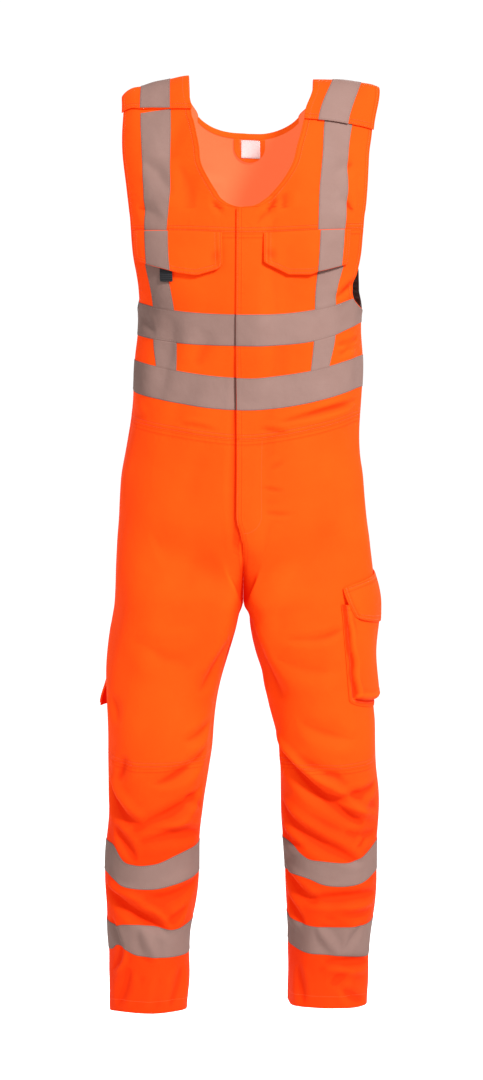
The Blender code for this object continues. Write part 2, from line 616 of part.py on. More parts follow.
def bib_grid(side):
    """Places of the front panel from the waist seam to the yoke seam."""
    lines = [level_line(name, side) for name in BIB_LINES]
    edges = [centre_edge(side), lap_line] + [front_line(name, side) for name in BIB_EDGES[2:-1]]
    edges += [front_edge(side)]
    return weave(lines, BIB_ROWS, edges, BIB_COLUMNS)


def yoke_grid(side):
    """Places of the front yoke from its seam over the neckline's foot to the shoulder."""
    lines = [level_line("yoke", side)] + [level_row(level) for level in (*NECK_LEVELS, CROWN - STRAP_SHORT)]
    edges = neck_edges(side) + [front_line("brace_in", side), front_line("brace_out", side), front_edge(side)]
    return weave(lines, YOKE_ROWS, edges, YOKE_COLUMNS)


def row_range(lines, cells, first, last):
    """The rows of a grid from one named line to another."""
    marks = np.cumsum([0] + cells)
    return slice(marks[lines.index(first)], marks[lines.index(last)] + 1)


def make_front(name, side):
    """Yoke, bib panel, bands, braces and chest flap on one side of the front."""
    place = bodice_form(side)
    way, level = bib_grid(side)
    lift = lap_lift(side, way, level)
    sewn_way, sewn_level = inset(way, level, inner=False)
    cloth(f"bib_front_{name}", orange(), place, side, sewn_way, run_of(sewn_level), lift - WALL, lift)

    yoke_way, yoke_level = yoke_grid(side)
    yoke_lift = lap_lift(side, yoke_way, yoke_level)
    sewn_way, sewn_level = inset(yoke_way, yoke_level, top=False, inner=False, outer=False)
    cloth(f"yoke_front_{name}", orange(), place, side, sewn_way, run_of(sewn_level), yoke_lift - WALL,
          yoke_lift)

    for band in ("lower", "upper"):
        rows = row_range(BIB_LINES, BIB_ROWS, band + "_band_foot", band + "_band_top")
        start = BIB_MARKS["lap" if side < 0 else "centre"]
        band_way, band_level = inset(way[rows, start:], level[rows, start:], inner=False)
        tape(f"{band}_band_front_{name}", place, side, band_way, run_of(band_level), lift[rows, start:])

    brace = slice(BIB_MARKS["brace_in"], BIB_MARKS["brace_out"] + 1)
    between = row_range(BIB_LINES, BIB_ROWS, "lower_band_top", "upper_band_foot")
    above = row_range(BIB_LINES, BIB_ROWS, "upper_band_top", "flap_foot")
    for part, rows in (("waist", between), ("rib", above)):
        part_way, part_level = inset(way[rows, brace], level[rows, brace], inner=False, outer=False)
        tape(f"brace_{part}_{name}", place, side, part_way, run_of(part_level))

    brace = slice(sum(YOKE_COLUMNS[:2]), sum(YOKE_COLUMNS[:3]) + 1)
    part_way, part_level = inset(yoke_way[:-1, brace], yoke_level[:-1, brace], inner=False, outer=False)
    tape(f"brace_chest_{name}", place, side, part_way, run_of(part_level))
    make_chest_flap(name, side, way, level)


def make_chest_flap(name, side, way, level):
    """A chest flap on the bib panel's own columns: sewn at the yoke seam, its pointed edge stands off."""
    columns = slice(BIB_MARKS["flap_in"], BIB_MARKS["flap_out"] + 1)
    rows = row_range(BIB_LINES, BIB_ROWS, "flap_foot", "yoke")
    flap_way = spread(list(way[rows, columns][[0, -1]]), [FLAP_ROWS])
    share = (flap_way[0] - flap_way[0, 0]) / (flap_way[0, -1] - flap_way[0, 0])
    foot = np.interp(share, FLAP_POINT_SHARES, FLAP_POINTS[name])
    top = level[rows, columns][-1] - 2 * SEAM
    drop = np.linspace(1.0, 0.0, FLAP_ROWS + 1)[:, None]
    flap_level = top + (foot - top) * drop
    lift = SEAM + FLAP_START + FLAP_STAND * drop ** 0.8 * (0.75 + 0.25 * np.sin(share * math.pi))
    lift = lift + lap_lift(side, flap_way, flap_level)
    place = bodice_form(side)
    cloth(f"chest_flap_{name}", orange(), place, side, flap_way, run_of(flap_level), lift, lift + FLAP_WALL)
    brace = slice(BIB_MARKS["brace_in"] - columns.start, BIB_MARKS["brace_out"] + 1 - columns.start)
    tape(f"brace_flap_{name}", place, side, flap_way[:, brace], run_of(flap_level[:, brace]),
         lift[:, brace] + FLAP_WALL)


def make_pen_tab():
    """The short black tab that hangs out below the right chest flap."""
    place = bodice_form(-1)
    level = np.repeat(np.linspace(*TAB_LEVELS, 3)[:, None], 2, axis=1)
    way = np.stack([way_at(np.array(TAB_ACROSS), row) for row in level])
    return cloth("pen_tab", black(), place, -1, way, run_of(level), TAB_LIFT, TAB_LIFT + WALL)


# ---------------------------------------------------------------- back of the bodice
BACK_LINE_NAMES = ["waist", "lower_band_foot", "lower_band_top", "upper_band_foot", "upper_band_top",
                   "insert_top"]
BACK_ROWS = [2, 2, 2, 3, 3, 3, 3, 1]
BACK_COLUMNS = [4, 2, 2, 3]
STRAP_ROWS = 11


def back_edge(level):
    """The outer edge of the back panel: the armhole, then the elastic insert, then the side seam."""
    return np.clip(read(BACK_EDGES, "insert", level), 0.0, 1.0)


def back_line(name, side):
    """One of the upright lines on the back."""
    return lambda level: way_at(read(BACK_LINES, f"{name}_{NAMES[side]}", level), level)


def neck_height(way):
    """The top row of the back below the straps: the neckline, and the strap's foot beside it."""
    across = read(BODY, "half_width", STRAP_FOOT) * bend(np.sin(way * math.pi / 2), 2 / RING)
    return np.where(across < STRAP_IN, read(BACK_NECK, "height", across), STRAP_FOOT)


def back_half(side):
    """Places of one half of the back, from the waist to the foot of the strap."""
    lines = [behind(level_line(name, side)) for name in BACK_LINE_NAMES]
    lines += [level_row(LOOP_FOOT), lambda way: neck_height(way) - FACING, neck_height]
    brace_in = back_line("brace_in", side)

    def strap_line(level):
        """Halfway to the brace low down, and the strap's inner edge at its foot."""
        near_neck = smoothstep(-0.20, STRAP_FOOT, level)
        return way_at(STRAP_IN, level) * near_neck + 0.55 * brace_in(level) * (1 - near_neck)

    edges = [level_row(0.0), strap_line, brace_in, back_line("brace_out", side), back_edge]
    return weave(lines, BACK_ROWS, edges, BACK_COLUMNS)


def strap_half(name, side, columns):
    """Places of one shoulder strap, from its foot on the back over the crown to its end in front.

    columns are the shares of the strap's width at which its lines lie, taken from the row at its foot.
    """
    inner_end, outer_end = FLAP_END[name]
    start = 2 * OVER - run_of(np.array(STRAP_FOOT))
    share = np.linspace(0.0, 1.0, STRAP_ROWS + 1)[:, None]
    width = (columns - columns[0]) / (columns[-1] - columns[0])
    end = run_of(inner_end + (outer_end - inner_end) * width)
    run = start + (end - start) * share
    height = height_of(run)
    in_front = smoothstep(1.35 * OVER, 0.85 * OVER, run)
    crown_share = smoothstep(STRAP_FOOT, CROWN, height)
    foot_edge = STRAP_IN + (read(FRONT_EDGES, "neck", height) - STRAP_IN) * in_front
    inner = way_at(foot_edge + (STRAP_CROWN[name] - foot_edge) * crown_share, height)
    outer = back_edge(height) * (1 - in_front) + front_edge(side)(height) * in_front
    braces = [back_line(line, side)(height) * (1 - in_front) + front_line(line, side)(height) * in_front
              for line in ("brace_in", "brace_out")]
    marks = [width[0], width[2], width[4], width[-1]]
    anchors = [inner, *braces, outer]
    way = np.zeros_like(run)
    for low, high, left, right in zip(marks, marks[1:], anchors, anchors[1:]):
        inside = (width >= low) & (width <= high)
        way = np.where(inside, left + (right - left) * (width - low) / (high - low), way)
    return way, run


def strap_lift(run):
    """The strap's end lies on the front panel, so the strap rises above it past the crown."""
    return STRAP_LIFT * smoothstep(1.25 * OVER, 1.02 * OVER, run)


def make_back():
    """The back panel with both straps as one piece of cloth, its bands and its braces."""
    halves, straps = {}, {}
    for name, side in SIDES.items():
        halves[name] = back_half(side)
        straps[name] = strap_half(name, side, halves[name][0][-1, BACK_COLUMNS[0]:])
    points = {"over": [], "under": []}
    for face, out in (("over", 0.0), ("under", -WALL)):
        for name, side in SIDES.items():
            place = bodice_form(side)
            way, level = inset(*halves[name], top=False, inner=False)
            lower = moved_out(place, side, way, 2 * OVER - run_of(level), out)
            strap_way, run = straps[name]
            upper = moved_out(place, side, strap_way[1:], run[1:], out + strap_lift(run[1:]))
            blank = np.repeat(lower[-1:, :BACK_COLUMNS[0]], STRAP_ROWS, axis=0)
            half = np.concatenate([lower, np.concatenate([blank, upper], axis=1)])
            points[face].append(half[:, ::-1] if side < 0 else half[:, 1:])
        points[face] = np.concatenate(points[face], axis=1)
    rows, columns = points["over"].shape[:2]
    cells = np.ones((rows - 1, columns - 1), dtype=bool)
    middle, reach = (columns - 1) // 2, BACK_COLUMNS[0]
    cells[rows - 1 - STRAP_ROWS:, middle - reach:middle + reach] = False
    solid("back_panel", orange(), points["over"], points["under"], cells=cells)

    for band in ("lower", "upper"):
        rows = row_range(BACK_LINE_NAMES, BACK_ROWS, band + "_band_foot", band + "_band_top")
        faces = []
        for out in (SEAM + TAPE_WALL, SEAM):
            parts = []
            for name, side in SIDES.items():
                way, level = halves[name][0][rows], halves[name][1][rows]
                way, level = inset(way, level, inner=False)
                part = moved_out(bodice_form(side), side, way, 2 * OVER - run_of(level), out)
                parts.append(part[:, ::-1] if side < 0 else part[:, 1:])
            faces.append(np.concatenate(parts, axis=1))
        solid(f"{band}_band_back", grey(), *faces)

    for name, side in SIDES.items():
        place = bodice_form(side)
        way, level = halves[name]
        brace = slice(sum(BACK_COLUMNS[:2]), sum(BACK_COLUMNS[:3]) + 1)
        waist = row_range(BACK_LINE_NAMES, BACK_ROWS, "lower_band_top", "upper_band_foot")
        upper = slice(sum(BACK_ROWS[:BACK_LINE_NAMES.index("upper_band_top")]), None)
        part_way, part_level = inset(way[waist, brace], level[waist, brace], inner=False, outer=False)
        tape(f"brace_back_waist_{name}", place, side, part_way, 2 * OVER - run_of(part_level))
        strap_way, run = straps[name]
        long_way = np.concatenate([way[upper, brace], strap_way[1:, 2:5]])
        long_run = np.concatenate([2 * OVER - run_of(level[upper, brace]), run[1:, 2:5]])
        long_run[0] -= SEAM
        tape(f"brace_shoulder_{name}", place, side, long_way, long_run, strap_lift(long_run))


def make_insert(name, side):
    """The black elastic insert between the back panel's armhole and the side seam, row by row beside it."""
    way, level = back_half(side)
    inner, level = way[:, -1] + SEAM_WAY, level[:, -1]
    outer = np.clip(read(BACK_EDGES, "armhole", level), 0.0, 1.0) - SEAM_WAY
    rows = (outer - inner > INSERT_LEAST) & (level < INSERT_TOP + SEAM)
    share = np.linspace(0.0, 1.0, 3)
    way = inner[rows][:, None] + (outer - inner)[rows][:, None] * share
    level = np.repeat(level[rows][:, None], 3, axis=1)
    return cloth(f"elastic_insert_{name}", black(), bodice_form(side), side, way, 2 * OVER - run_of(level))


def make_neck_trim():
    """What is sewn inside the back neckline: its facing, the plain label and the hanger loop."""
    facing = -WALL - SEAM
    halves = {name: back_half(side) for name, side in SIDES.items()}
    faces = []
    for out in (facing, facing - TRIM_WALL):
        parts = []
        for name, side in SIDES.items():
            way, level = (grid[-2:, :BACK_COLUMNS[0] + 1] for grid in halves[name])
            part = moved_out(bodice_form(side), side, way, 2 * OVER - run_of(level), out)
            parts.append(part[:, ::-1] if side < 0 else part[:, 1:])
        faces.append(np.concatenate(parts, axis=1))
    solid("neck_facing", orange(), *faces)

    def inside(across, level, out):
        """Points behind the back panel's inner face, at a distance across and a level."""
        way, run = way_at(np.abs(across), level), 2 * OVER - run_of(level)
        parts = [moved_out(bodice_form(side), side, way, run, out) for side in (-1, 1)]
        return np.where((across < 0)[..., None], parts[0], parts[1])

    label = facing - SEAM
    across, level = np.meshgrid(np.linspace(*LABEL_ACROSS, 3), np.linspace(*LABEL_LEVELS, 3))
    solid("neck_label", white(), inside(across, level, label), inside(across, level, label - TRIM_WALL))

    turn = np.pad(np.linspace(0.0, math.pi, 9), 1, mode="edge")
    straight = np.full(turn.shape, LOOP_DROP - LOOP_RADIUS)
    straight[[0, -1]] = 0.0
    radius = np.array([[LOOP_RADIUS], [LOOP_RADIUS - LOOP_WIDTH]])
    across = LOOP_CENTRE + radius * np.cos(turn)
    level = LOOP_TOP - straight - radius * np.sin(turn)
    loop = label - TRIM_WALL - 2 * SEAM
    solid("hanger_loop", orange(), inside(across, level, loop), inside(across, level, loop - TRIM_WALL))


# ---------------------------------------------------------------- trousers
LEG_NAMES = ["hem", "lower_tape_foot", "lower_tape_top", "upper_tape_foot", "upper_tape_top", "knee",
             "crotch", "fly_end", "waist"]
LEG_ROWS = [3, 2, 3, 2, 7, 9, 5, 4]
LEVELS = {"crotch": CROTCH, "fly_end": FLY_END}
EVEN_FROM, EVEN_TO = -0.690, -0.800      # levels between which the columns even out below the waist


def leg_columns(side, front):
    """Upright lines of a trouser panel: those of the panel above it at the waist, even on the leg."""
    above = bib_grid(side)[0][0] if front else 2 - back_half(side)[0][0][::-1]
    even = np.linspace(0.0, 1.0, len(above)) if front else np.linspace(1.0, 2.0, len(above))

    def line(at_waist, on_leg):
        def edge(level):
            down = smoothstep(EVEN_FROM, EVEN_TO, level)
            return at_waist + (on_leg - at_waist) * down

        return edge

    columns = [line(*pair) for pair in zip(above, even)]
    if front:
        columns[0] = centre_edge(side) if side > 0 else level_row(0.0)
    return columns


def leg_grid(side, front):
    """Places of one half of one leg, from the hem to the waist."""
    lines = [leg_line(name, side) for name in LEG_NAMES]
    columns = leg_columns(side, front)
    return weave(lines, LEG_ROWS, columns, [1] * (len(columns) - 1))


def half_of_trousers(name, side, way, level, lift=0.0):
    """One trouser panel, none of which crosses the centre seam except where the fly laps."""
    place, faces = leg_form(side), []
    centre = read(BODY, "centre", level)
    seamed = (level < FLY_END + SEAM) | (way > 1)
    for out in (lift, lift - WALL):
        points = moved_out(place, side, way, level, out)
        off_centre = side * (points[..., 0] - centre)
        points[..., 0] = np.where(seamed, centre + side * np.maximum(off_centre, SEAM / 2), points[..., 0])
        faces.append(points)
    return solid(name, orange(), *faces)


def make_leg(name, side):
    """One leg: thigh and shin in front, one panel behind, and two tapes round it."""
    place = leg_form(side)
    grids = {True: leg_grid(side, True), False: leg_grid(side, False)}
    way, level = grids[True]
    knee = np.cumsum([0] + LEG_ROWS)[LEG_NAMES.index("knee")]
    for part, rows in (("shin", slice(0, knee + 1)), ("thigh", slice(knee, None))):
        part_way, part_level = inset(way[rows], level[rows], foot=part == "thigh")
        if side > 0:
            part_way[:, 0] = np.minimum(part_way[:, 0], np.where(way[rows][:, 0] < 0, way[rows][:, 0], 1.0))
        lift = lap_lift(side, part_way, part_level)
        half_of_trousers(f"{part}_front_{name}", side, part_way, part_level, lift)
    way, level = inset(*grids[False], foot=False)
    half_of_trousers(f"leg_back_{name}", side, way, level)

    for band in ("lower", "upper"):
        rows = row_range(LEG_NAMES, LEG_ROWS, band + "_tape_foot", band + "_tape_top")
        way = np.concatenate([grids[True][0][rows], grids[False][0][rows, 1:-1]], axis=1)
        level = np.concatenate([grids[True][1][rows], grids[False][1][rows, 1:-1]], axis=1)
        tape(f"{band}_leg_tape_{name}", place, side, way, level, ring=True)


def leg_surface(side):
    """Points and outward directions of one leg's grid, all the way round."""
    place = leg_form(side)
    front, back = leg_grid(side, True), leg_grid(side, False)
    way, level = (np.concatenate([f, b[:, 1:]], axis=1) for f, b in zip(front, back))
    return place(way, level), outward(place, side, way, level)


def between(grid, rows, columns):
    """A grid read at places between its rows and columns, in straight steps."""
    low_row, low_column = (np.minimum(np.floor(at).astype(int), size - 2)
                           for at, size in zip((rows, columns), grid.shape))
    v, u = (rows - low_row)[:, None, None], (columns - low_column)[None, :, None]
    corner = [[grid[low_row + i][:, low_column + j] for j in (0, 1)] for i in (0, 1)]
    return ((1 - v) * ((1 - u) * corner[0][0] + u * corner[0][1])
            + v * ((1 - u) * corner[1][0] + u * corner[1][1]))


def on_leg(name, side, rows, columns, lift, thick):
    """A piece sewn on a leg, on the leg's own grid, whose face stands off by a distance for each point."""
    points, normals = (between(grid, rows, columns) for grid in leg_surface(side))
    normals = normals / np.linalg.norm(normals, axis=-1, keepdims=True)
    lift = np.broadcast_to(lift, points.shape[:2])[..., None]
    return solid(name, orange(), points + normals * (lift + thick), points + normals * lift)


def steps(low, high, margins):
    """The whole numbers between low and high, with extra places close to both ends at the given distances."""
    near_low, near_high = (np.array(margin) for margin in margins)
    inside = np.arange(math.floor(low) + 1, math.ceil(high))
    return np.concatenate([[low], low + near_low, inside, high - near_high[::-1], [high]])


def from_seams(rows, columns):
    """How many cells each place of a pocket lies inside its seams, which run along its sides and its foot."""
    beside = np.minimum(columns - columns[0], columns[-1] - columns)
    return np.minimum((rows - rows[0])[:, None], beside[None])


CROTCH_ROW = sum(LEG_ROWS[:LEG_NAMES.index("crotch")])
OUTSEAM_COLUMN = sum(BIB_COLUMNS)


def make_thigh_pocket():
    """The bellows pocket on the left thigh, open at its top, and its flap.

    The bellows stand up steeply close inside the pocket's seam. The face leans out further towards the foot.
    """
    rows = steps(CROTCH_ROW - 6, CROTCH_ROW, ([0.22], []))
    columns = steps(OUTSEAM_COLUMN - 3.45, OUTSEAM_COLUMN + 3, ([0.20], [0.20]))
    up = ((rows - rows[0]) / (rows[-1] - rows[0]))[:, None]
    inside = from_seams(rows, columns)
    lift = 2 * SEAM + POCKET_DEPTH * smoothstep(0.0, 0.24, inside) * (1.0 - 0.45 * up)
    on_leg("thigh_pocket", 1, rows, columns, lift, WALL)

    rows = steps(CROTCH_ROW - 1.15, CROTCH_ROW + 1, ([], [0.5, 0.75]))
    columns = steps(OUTSEAM_COLUMN - 3.85, OUTSEAM_COLUMN + 3.4, ([0.12], [0.12]))
    drop = ((rows[-1] - rows) / (rows[-1] - rows[0]))[:, None]
    lift = 3 * SEAM + POCKET_FLAP_STAND * np.sin(np.clip(drop * 1.6, 0.0, 1.0) * math.pi / 2) + 0 * columns
    on_leg("thigh_pocket_flap", 1, rows, columns, lift, FLAP_WALL)


def make_ruler_pocket():
    """The long narrow pocket behind the right outseam, whose free lower corner stands away from the leg."""
    rows = steps(CROTCH_ROW - 6.45, CROTCH_ROW + 1, ([0.22], []))
    columns = steps(OUTSEAM_COLUMN + 1, OUTSEAM_COLUMN + 5, ([0.25], [0.25]))
    up = ((rows - rows[0]) / (rows[-1] - rows[0]))[:, None]
    across = ((columns - columns[0]) / (columns[-1] - columns[0]))[None]
    corner = RULER_FLARE * (1 - across) ** 3 * smoothstep(0.28, 0.0, up)
    depth = RULER_DEPTH * smoothstep(0.0, 0.30, from_seams(rows, columns))
    lift = 2 * SEAM + depth + corner
    on_leg("ruler_pocket", -1, rows, columns, lift, WALL)


def main():
    """Removes what the scene holds and makes the overalls."""
    for old in list(bpy.data.objects):
        bpy.data.objects.remove(old, do_unlink=True)
    for name, side in SIDES.items():
        make_front(name, side)
        make_insert(name, side)
        make_leg(name, side)
    make_pen_tab()
    make_back()
    make_neck_trim()
    make_thigh_pocket()
    make_ruler_pocket()


main()
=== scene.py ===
"""Looks of the high-visibility bib overalls: each piece of cloth is a thin shell with folds and stitching.

Frame: metres, +Z up, the front faces -Y, +X is the wearer's left. A place on the cloth has two numbers:
  way    how far round: 0 centre front (or centre back), 1 side seam. On a leg 0 is the inseam in front,
         1 the outseam and 2 the inseam behind.
  run    how far up the front and down the back of the bodice, or a level on the trousers.
Every piece is a grid of such places on the form of the bodice or of a leg. Folds raise and lower the form,
so that tapes, flaps and pockets follow the cloth they are sewn on.
"""

import math

import bpy
import numpy as np
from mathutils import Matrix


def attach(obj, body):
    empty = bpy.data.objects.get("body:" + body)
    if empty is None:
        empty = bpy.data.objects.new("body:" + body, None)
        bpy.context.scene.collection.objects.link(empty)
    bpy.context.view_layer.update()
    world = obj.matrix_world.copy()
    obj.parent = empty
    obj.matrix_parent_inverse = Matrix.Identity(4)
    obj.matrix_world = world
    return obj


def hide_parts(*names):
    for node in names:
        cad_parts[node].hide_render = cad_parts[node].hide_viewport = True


# ---------------------------------------------------------------- driving dimensions, metres
WALL = 0.0013            # thickness of one layer of cloth
FLAP_WALL = 0.0022       # a flap is two layers with turned edges
TAPE_WALL = 0.0007       # thickness of the reflective tape
TAPE_GAP = 0.0001        # the tape's underside lies this far above the cloth
CELL = 0.0033            # size of a grid cell
SEAM_INSET = 0.0006      # half the distance between the cut edges of two pieces that are sewn together
SEAM_WAY = 0.0010        # the way that makes up about that distance at a side seam
CENTRE_INSET = 0.00006   # the same at the centre seam of the trousers, whose edges turn towards each other
WAY_LENGTH = 0.26        # length of one unit of way, about the same on bodice and legs

SPRING = -0.300          # level where the shoulder arch starts
CROWN = 0.014            # top of the arch beside the neck
OVER = 0.360             # run from the spring line to the crown
ARCH = 2.2               # roundness of the shoulder arch, 2 is an ellipse
RING = 2.4               # roundness of a bodice ring
LEG_RING = 2.2           # roundness of a leg ring
FORK_TOP = -0.700        # level where the trousers start to part
CROTCH = -0.848          # level of the crotch
PARTING = 0.020          # height below it over which the legs part
FORK_SQUARE = 2.2        # how much squarer the inner half of a leg is at the crotch
FORK_SQUARE_LEVELS = (-1.02, -0.87)        # levels over which it gets so
FORK_SPREAD = 0.11       # way over which the crotch curve stays sharp
FORK_CURVE = 0.97        # how much of a quarter circle the crotch curve is

OVERLAP = 0.019          # the left front laps this far over the right one
OVERLAP_LIFT = 0.0042    # and stands out by this much there
OVERLAP_FADE = (0.014, 0.045)      # distances from the centre between which it comes down to the form
LAP_SHADE, LAP_SHADE_WIDTH = 0.50, 0.0062        # depth and width of the painted shadow beside the lap's edge
LAP_SHADE_TOP = (-0.50, -0.54)             # levels over which that strip starts
CROTCH_SHADE = 0.60      # depth of the painted shade in the hollow above the crotch
CROTCH_SHADE_WIDTH = (0.0015, 0.0105)      # its half width at its top, and how much it gains
CROTCH_SHADE_TOP = -0.755                  # level where it starts
FLY_END = -0.738         # level where the fly ends
FLY_FADE = 0.045         # height over which its lap narrows above that level and its lift fades below it
FLY_STITCH = 0.029       # distance of the fly's stitching from the centre
FLY_STITCH_LEVELS = (-0.695, -0.722)       # where it starts to curve, and where it reaches the seam

STRAP_LIFT = 0.0037      # how far the straps' ends stand out over the front panels and their tape
FLAP_START = 0.0009      # how far a chest flap stands off at its seam
FLAP_STAND = 0.0060      # and at its lower edge
FLAP_WAVE, FLAP_PINCH = 0.0007, 0.0016           # height of its waves, and depth of the pinch near its corner
FLAP_SIZE = (0.135, 0.065)                       # about how wide and how high it is
SEAM_STITCHES = (0.0018, 0.0075)   # distances of the two rows of stitching from a seam or a flap's edge
EDGE_STITCH = 0.007      # distance of the stitching from the neckline and from a strap's edge
HEM_STITCH = 0.020       # distance of the hem's stitching from its edge
TAPE_STITCH = 0.0022     # distance of the tape's stitching from its edge
STITCH, STITCH_GAP = 0.0026, 0.0010              # length of a stitch, and the gap to the next
THREAD = 0.00030         # radius of the thread

SIDES = {"right": -1, "left": 1}
NAMES = {-1: "right", 1: "left"}


def table(names, *rows):
    """Named columns of numbers, with the rows sorted by the first column."""
    values = np.array(sorted(rows), dtype=float).T
    return dict(zip(names.split(), values))


def read(tab, name, at):
    """A smooth curve through one column: cubic steps whose slopes are taken from each row's neighbours."""
    key, values = next(iter(tab.values())), tab[name]
    slopes = np.gradient(values, key)
    i = np.clip(np.searchsorted(key, at) - 1, 0, len(key) - 2)
    step = key[i + 1] - key[i]
    u = np.clip((at - key[i]) / step, 0.0, 1.0)
    start = (1 + 2 * u) * (1 - u) ** 2 * values[i] + u * (1 - u) ** 2 * step * slopes[i]
    end = u ** 2 * (3 - 2 * u) * values[i + 1] + u ** 2 * (u - 1) * step * slopes[i + 1]
    return start + end


# ---------------------------------------------------------------- tables of sizes
# Rings of the bodice and hips: half width, and how far the front and the back stand from the side seams.
BODY = table(
    "level centre half_width front back",
    (0.020, 0.0000, 0.2260, 0.118, 0.112),
    (-0.100, 0.0000, 0.2210, 0.122, 0.120),
    (-0.200, 0.0000, 0.2120, 0.125, 0.124),
    (-0.280, 0.0000, 0.2030, 0.127, 0.122),
    (-0.330, 0.0010, 0.1940, 0.128, 0.118),
    (-0.365, 0.0018, 0.1845, 0.128, 0.115),
    (-0.400, 0.0015, 0.1835, 0.128, 0.112),
    (-0.440, -0.0005, 0.1865, 0.128, 0.110),
    (-0.480, -0.0030, 0.1890, 0.128, 0.108),
    (-0.520, -0.0045, 0.1905, 0.127, 0.108),
    (-0.560, -0.0065, 0.1935, 0.125, 0.112),
    (-0.600, -0.0080, 0.1980, 0.124, 0.120),
    (-0.640, -0.0085, 0.2040, 0.124, 0.129),
    (-0.680, -0.0085, 0.2070, 0.123, 0.136),
    (-0.720, -0.0085, 0.2090, 0.121, 0.140),
    (-0.760, -0.0085, 0.2125, 0.118, 0.139),
    (-0.800, -0.0085, 0.2160, 0.114, 0.134),
    (-0.850, -0.0085, 0.2185, 0.109, 0.125),
)
# Height of the shoulder line at a distance from the centre: straps slope outwards and droop at the edge.
SHOULDER = table(
    "across right left",
    (0.050, 0.0105, 0.0105), (0.100, 0.0080, 0.0092), (0.130, 0.0040, 0.0076),
    (0.155, 0.0005, 0.0052), (0.175, -0.0045, 0.0022), (0.190, -0.0070, 0.0000),
    (0.200, -0.0135, -0.0020), (0.212, -0.0300, -0.0065),
)
# Front neckline: half width, and how far its middle lies to the wearer's left. Front armhole: way.
FRONT_EDGES = table(
    "level neck middle armhole_right armhole_left",
    (0.014, 0.099, 0.000, 0.692, 0.755), (-0.010, 0.095, 0.000, 0.696, 0.740),
    (-0.030, 0.092, 0.000, 0.708, 0.722), (-0.045, 0.091, 0.000, 0.716, 0.712),
    (-0.070, 0.086, 0.000, 0.718, 0.706), (-0.095, 0.080, -0.001, 0.712, 0.690),
    (-0.125, 0.074, -0.003, 0.702, 0.688), (-0.150, 0.061, -0.004, 0.696, 0.688),
    (-0.170, 0.047, -0.006, 0.694, 0.686), (-0.185, 0.034, -0.008, 0.692, 0.684),
    (-0.1925, 0.022, -0.008, 0.691, 0.681), (-0.1965, 0.010, -0.008, 0.691, 0.680),
    (-0.1985, 0.001, -0.008, 0.690, 0.678), (-0.235, 0.001, -0.004, 0.690, 0.676),
    (-0.280, 0.001, 0.000, 0.702, 0.680), (-0.305, 0.001, 0.000, 0.712, 0.664),
    (-0.325, 0.001, 0.000, 0.742, 0.640), (-0.340, 0.001, 0.000, 0.790, 0.668),
    (-0.352, 0.001, 0.000, 0.850, 0.740), (-0.360, 0.001, 0.000, 0.915, 0.850),
    (-0.366, 0.001, 0.000, 1.000, 1.000), (-0.380, 0.001, 0.000, 1.000, 1.000),
    (-0.600, 0.001, 0.000, 1.000, 1.000),
)
NECK_LEVELS = (-0.1990, -0.1935, -0.165)  # foot of the front neckline, its curve, and where it turns upright
NECK_CLOSED = (0.001, 0.014)              # half widths between which the neckline turns into the lapped front
# Edges of the elastic insert below the back armhole, as shares of the way from centre back to the side seam.
BACK_EDGES = table(
    "level armhole insert",
    (0.014, 0.690, 0.690), (-0.045, 0.660, 0.660), (-0.120, 0.590, 0.590), (-0.200, 0.560, 0.560),
    (-0.260, 0.600, 0.585), (-0.285, 0.700, 0.635), (-0.300, 0.735, 0.640), (-0.320, 0.765, 0.660),
    (-0.340, 0.810, 0.700), (-0.353, 0.890, 0.735), (-0.365, 1.000, 0.800), (-0.374, 1.000, 0.870),
    (-0.382, 1.000, 0.950), (-0.387, 1.000, 1.000), (-0.420, 1.000, 1.000), (-0.600, 1.000, 1.000),
)
INSERT_TOP, INSERT_FOOT = -0.2850, -0.3845         # levels of the elastic insert's two tips
# Upright edges on the front, as distances from the centre: chest flap and reflective brace, on each side.
FRONT_LINES = table(
    "level flap_in_right brace_in_right brace_out_right flap_out_right "
    "flap_in_left brace_in_left brace_out_left flap_out_left",
    (0.014, 0.100, 0.127, 0.175, 0.185, 0.100, 0.138, 0.184, 0.190),
    (-0.050, 0.100, 0.127, 0.175, 0.185, 0.100, 0.124, 0.170, 0.180),
    (-0.106, 0.095, 0.128, 0.171, 0.185, 0.090, 0.120, 0.162, 0.172),
    (-0.170, 0.070, 0.126, 0.167, 0.184, 0.060, 0.113, 0.159, 0.165),
    (-0.231, 0.044, 0.130, 0.164, 0.180, 0.028, 0.111, 0.154, 0.160),
    (-0.290, 0.045, 0.131, 0.164, 0.175, 0.026, 0.112, 0.153, 0.159),
    (-0.330, 0.046, 0.125, 0.158, 0.171, 0.030, 0.108, 0.142, 0.158),
    (-0.420, 0.048, 0.120, 0.156, 0.172, 0.034, 0.104, 0.139, 0.158),
    (-0.455, 0.050, 0.118, 0.151, 0.172, 0.038, 0.102, 0.133, 0.156),
    (-0.570, 0.055, 0.116, 0.150, 0.172, 0.042, 0.100, 0.132, 0.154),
)
# The braces on the back.
BACK_LINES = table(
    "level brace_in_right brace_out_right brace_in_left brace_out_left",
    (0.014, 0.127, 0.175, 0.138, 0.184), (-0.100, 0.118, 0.165, 0.120, 0.167),
    (-0.200, 0.102, 0.149, 0.102, 0.149), (-0.330, 0.094, 0.141, 0.094, 0.141),
    (-0.450, 0.092, 0.139, 0.092, 0.139), (-0.570, 0.092, 0.139, 0.092, 0.139),
)
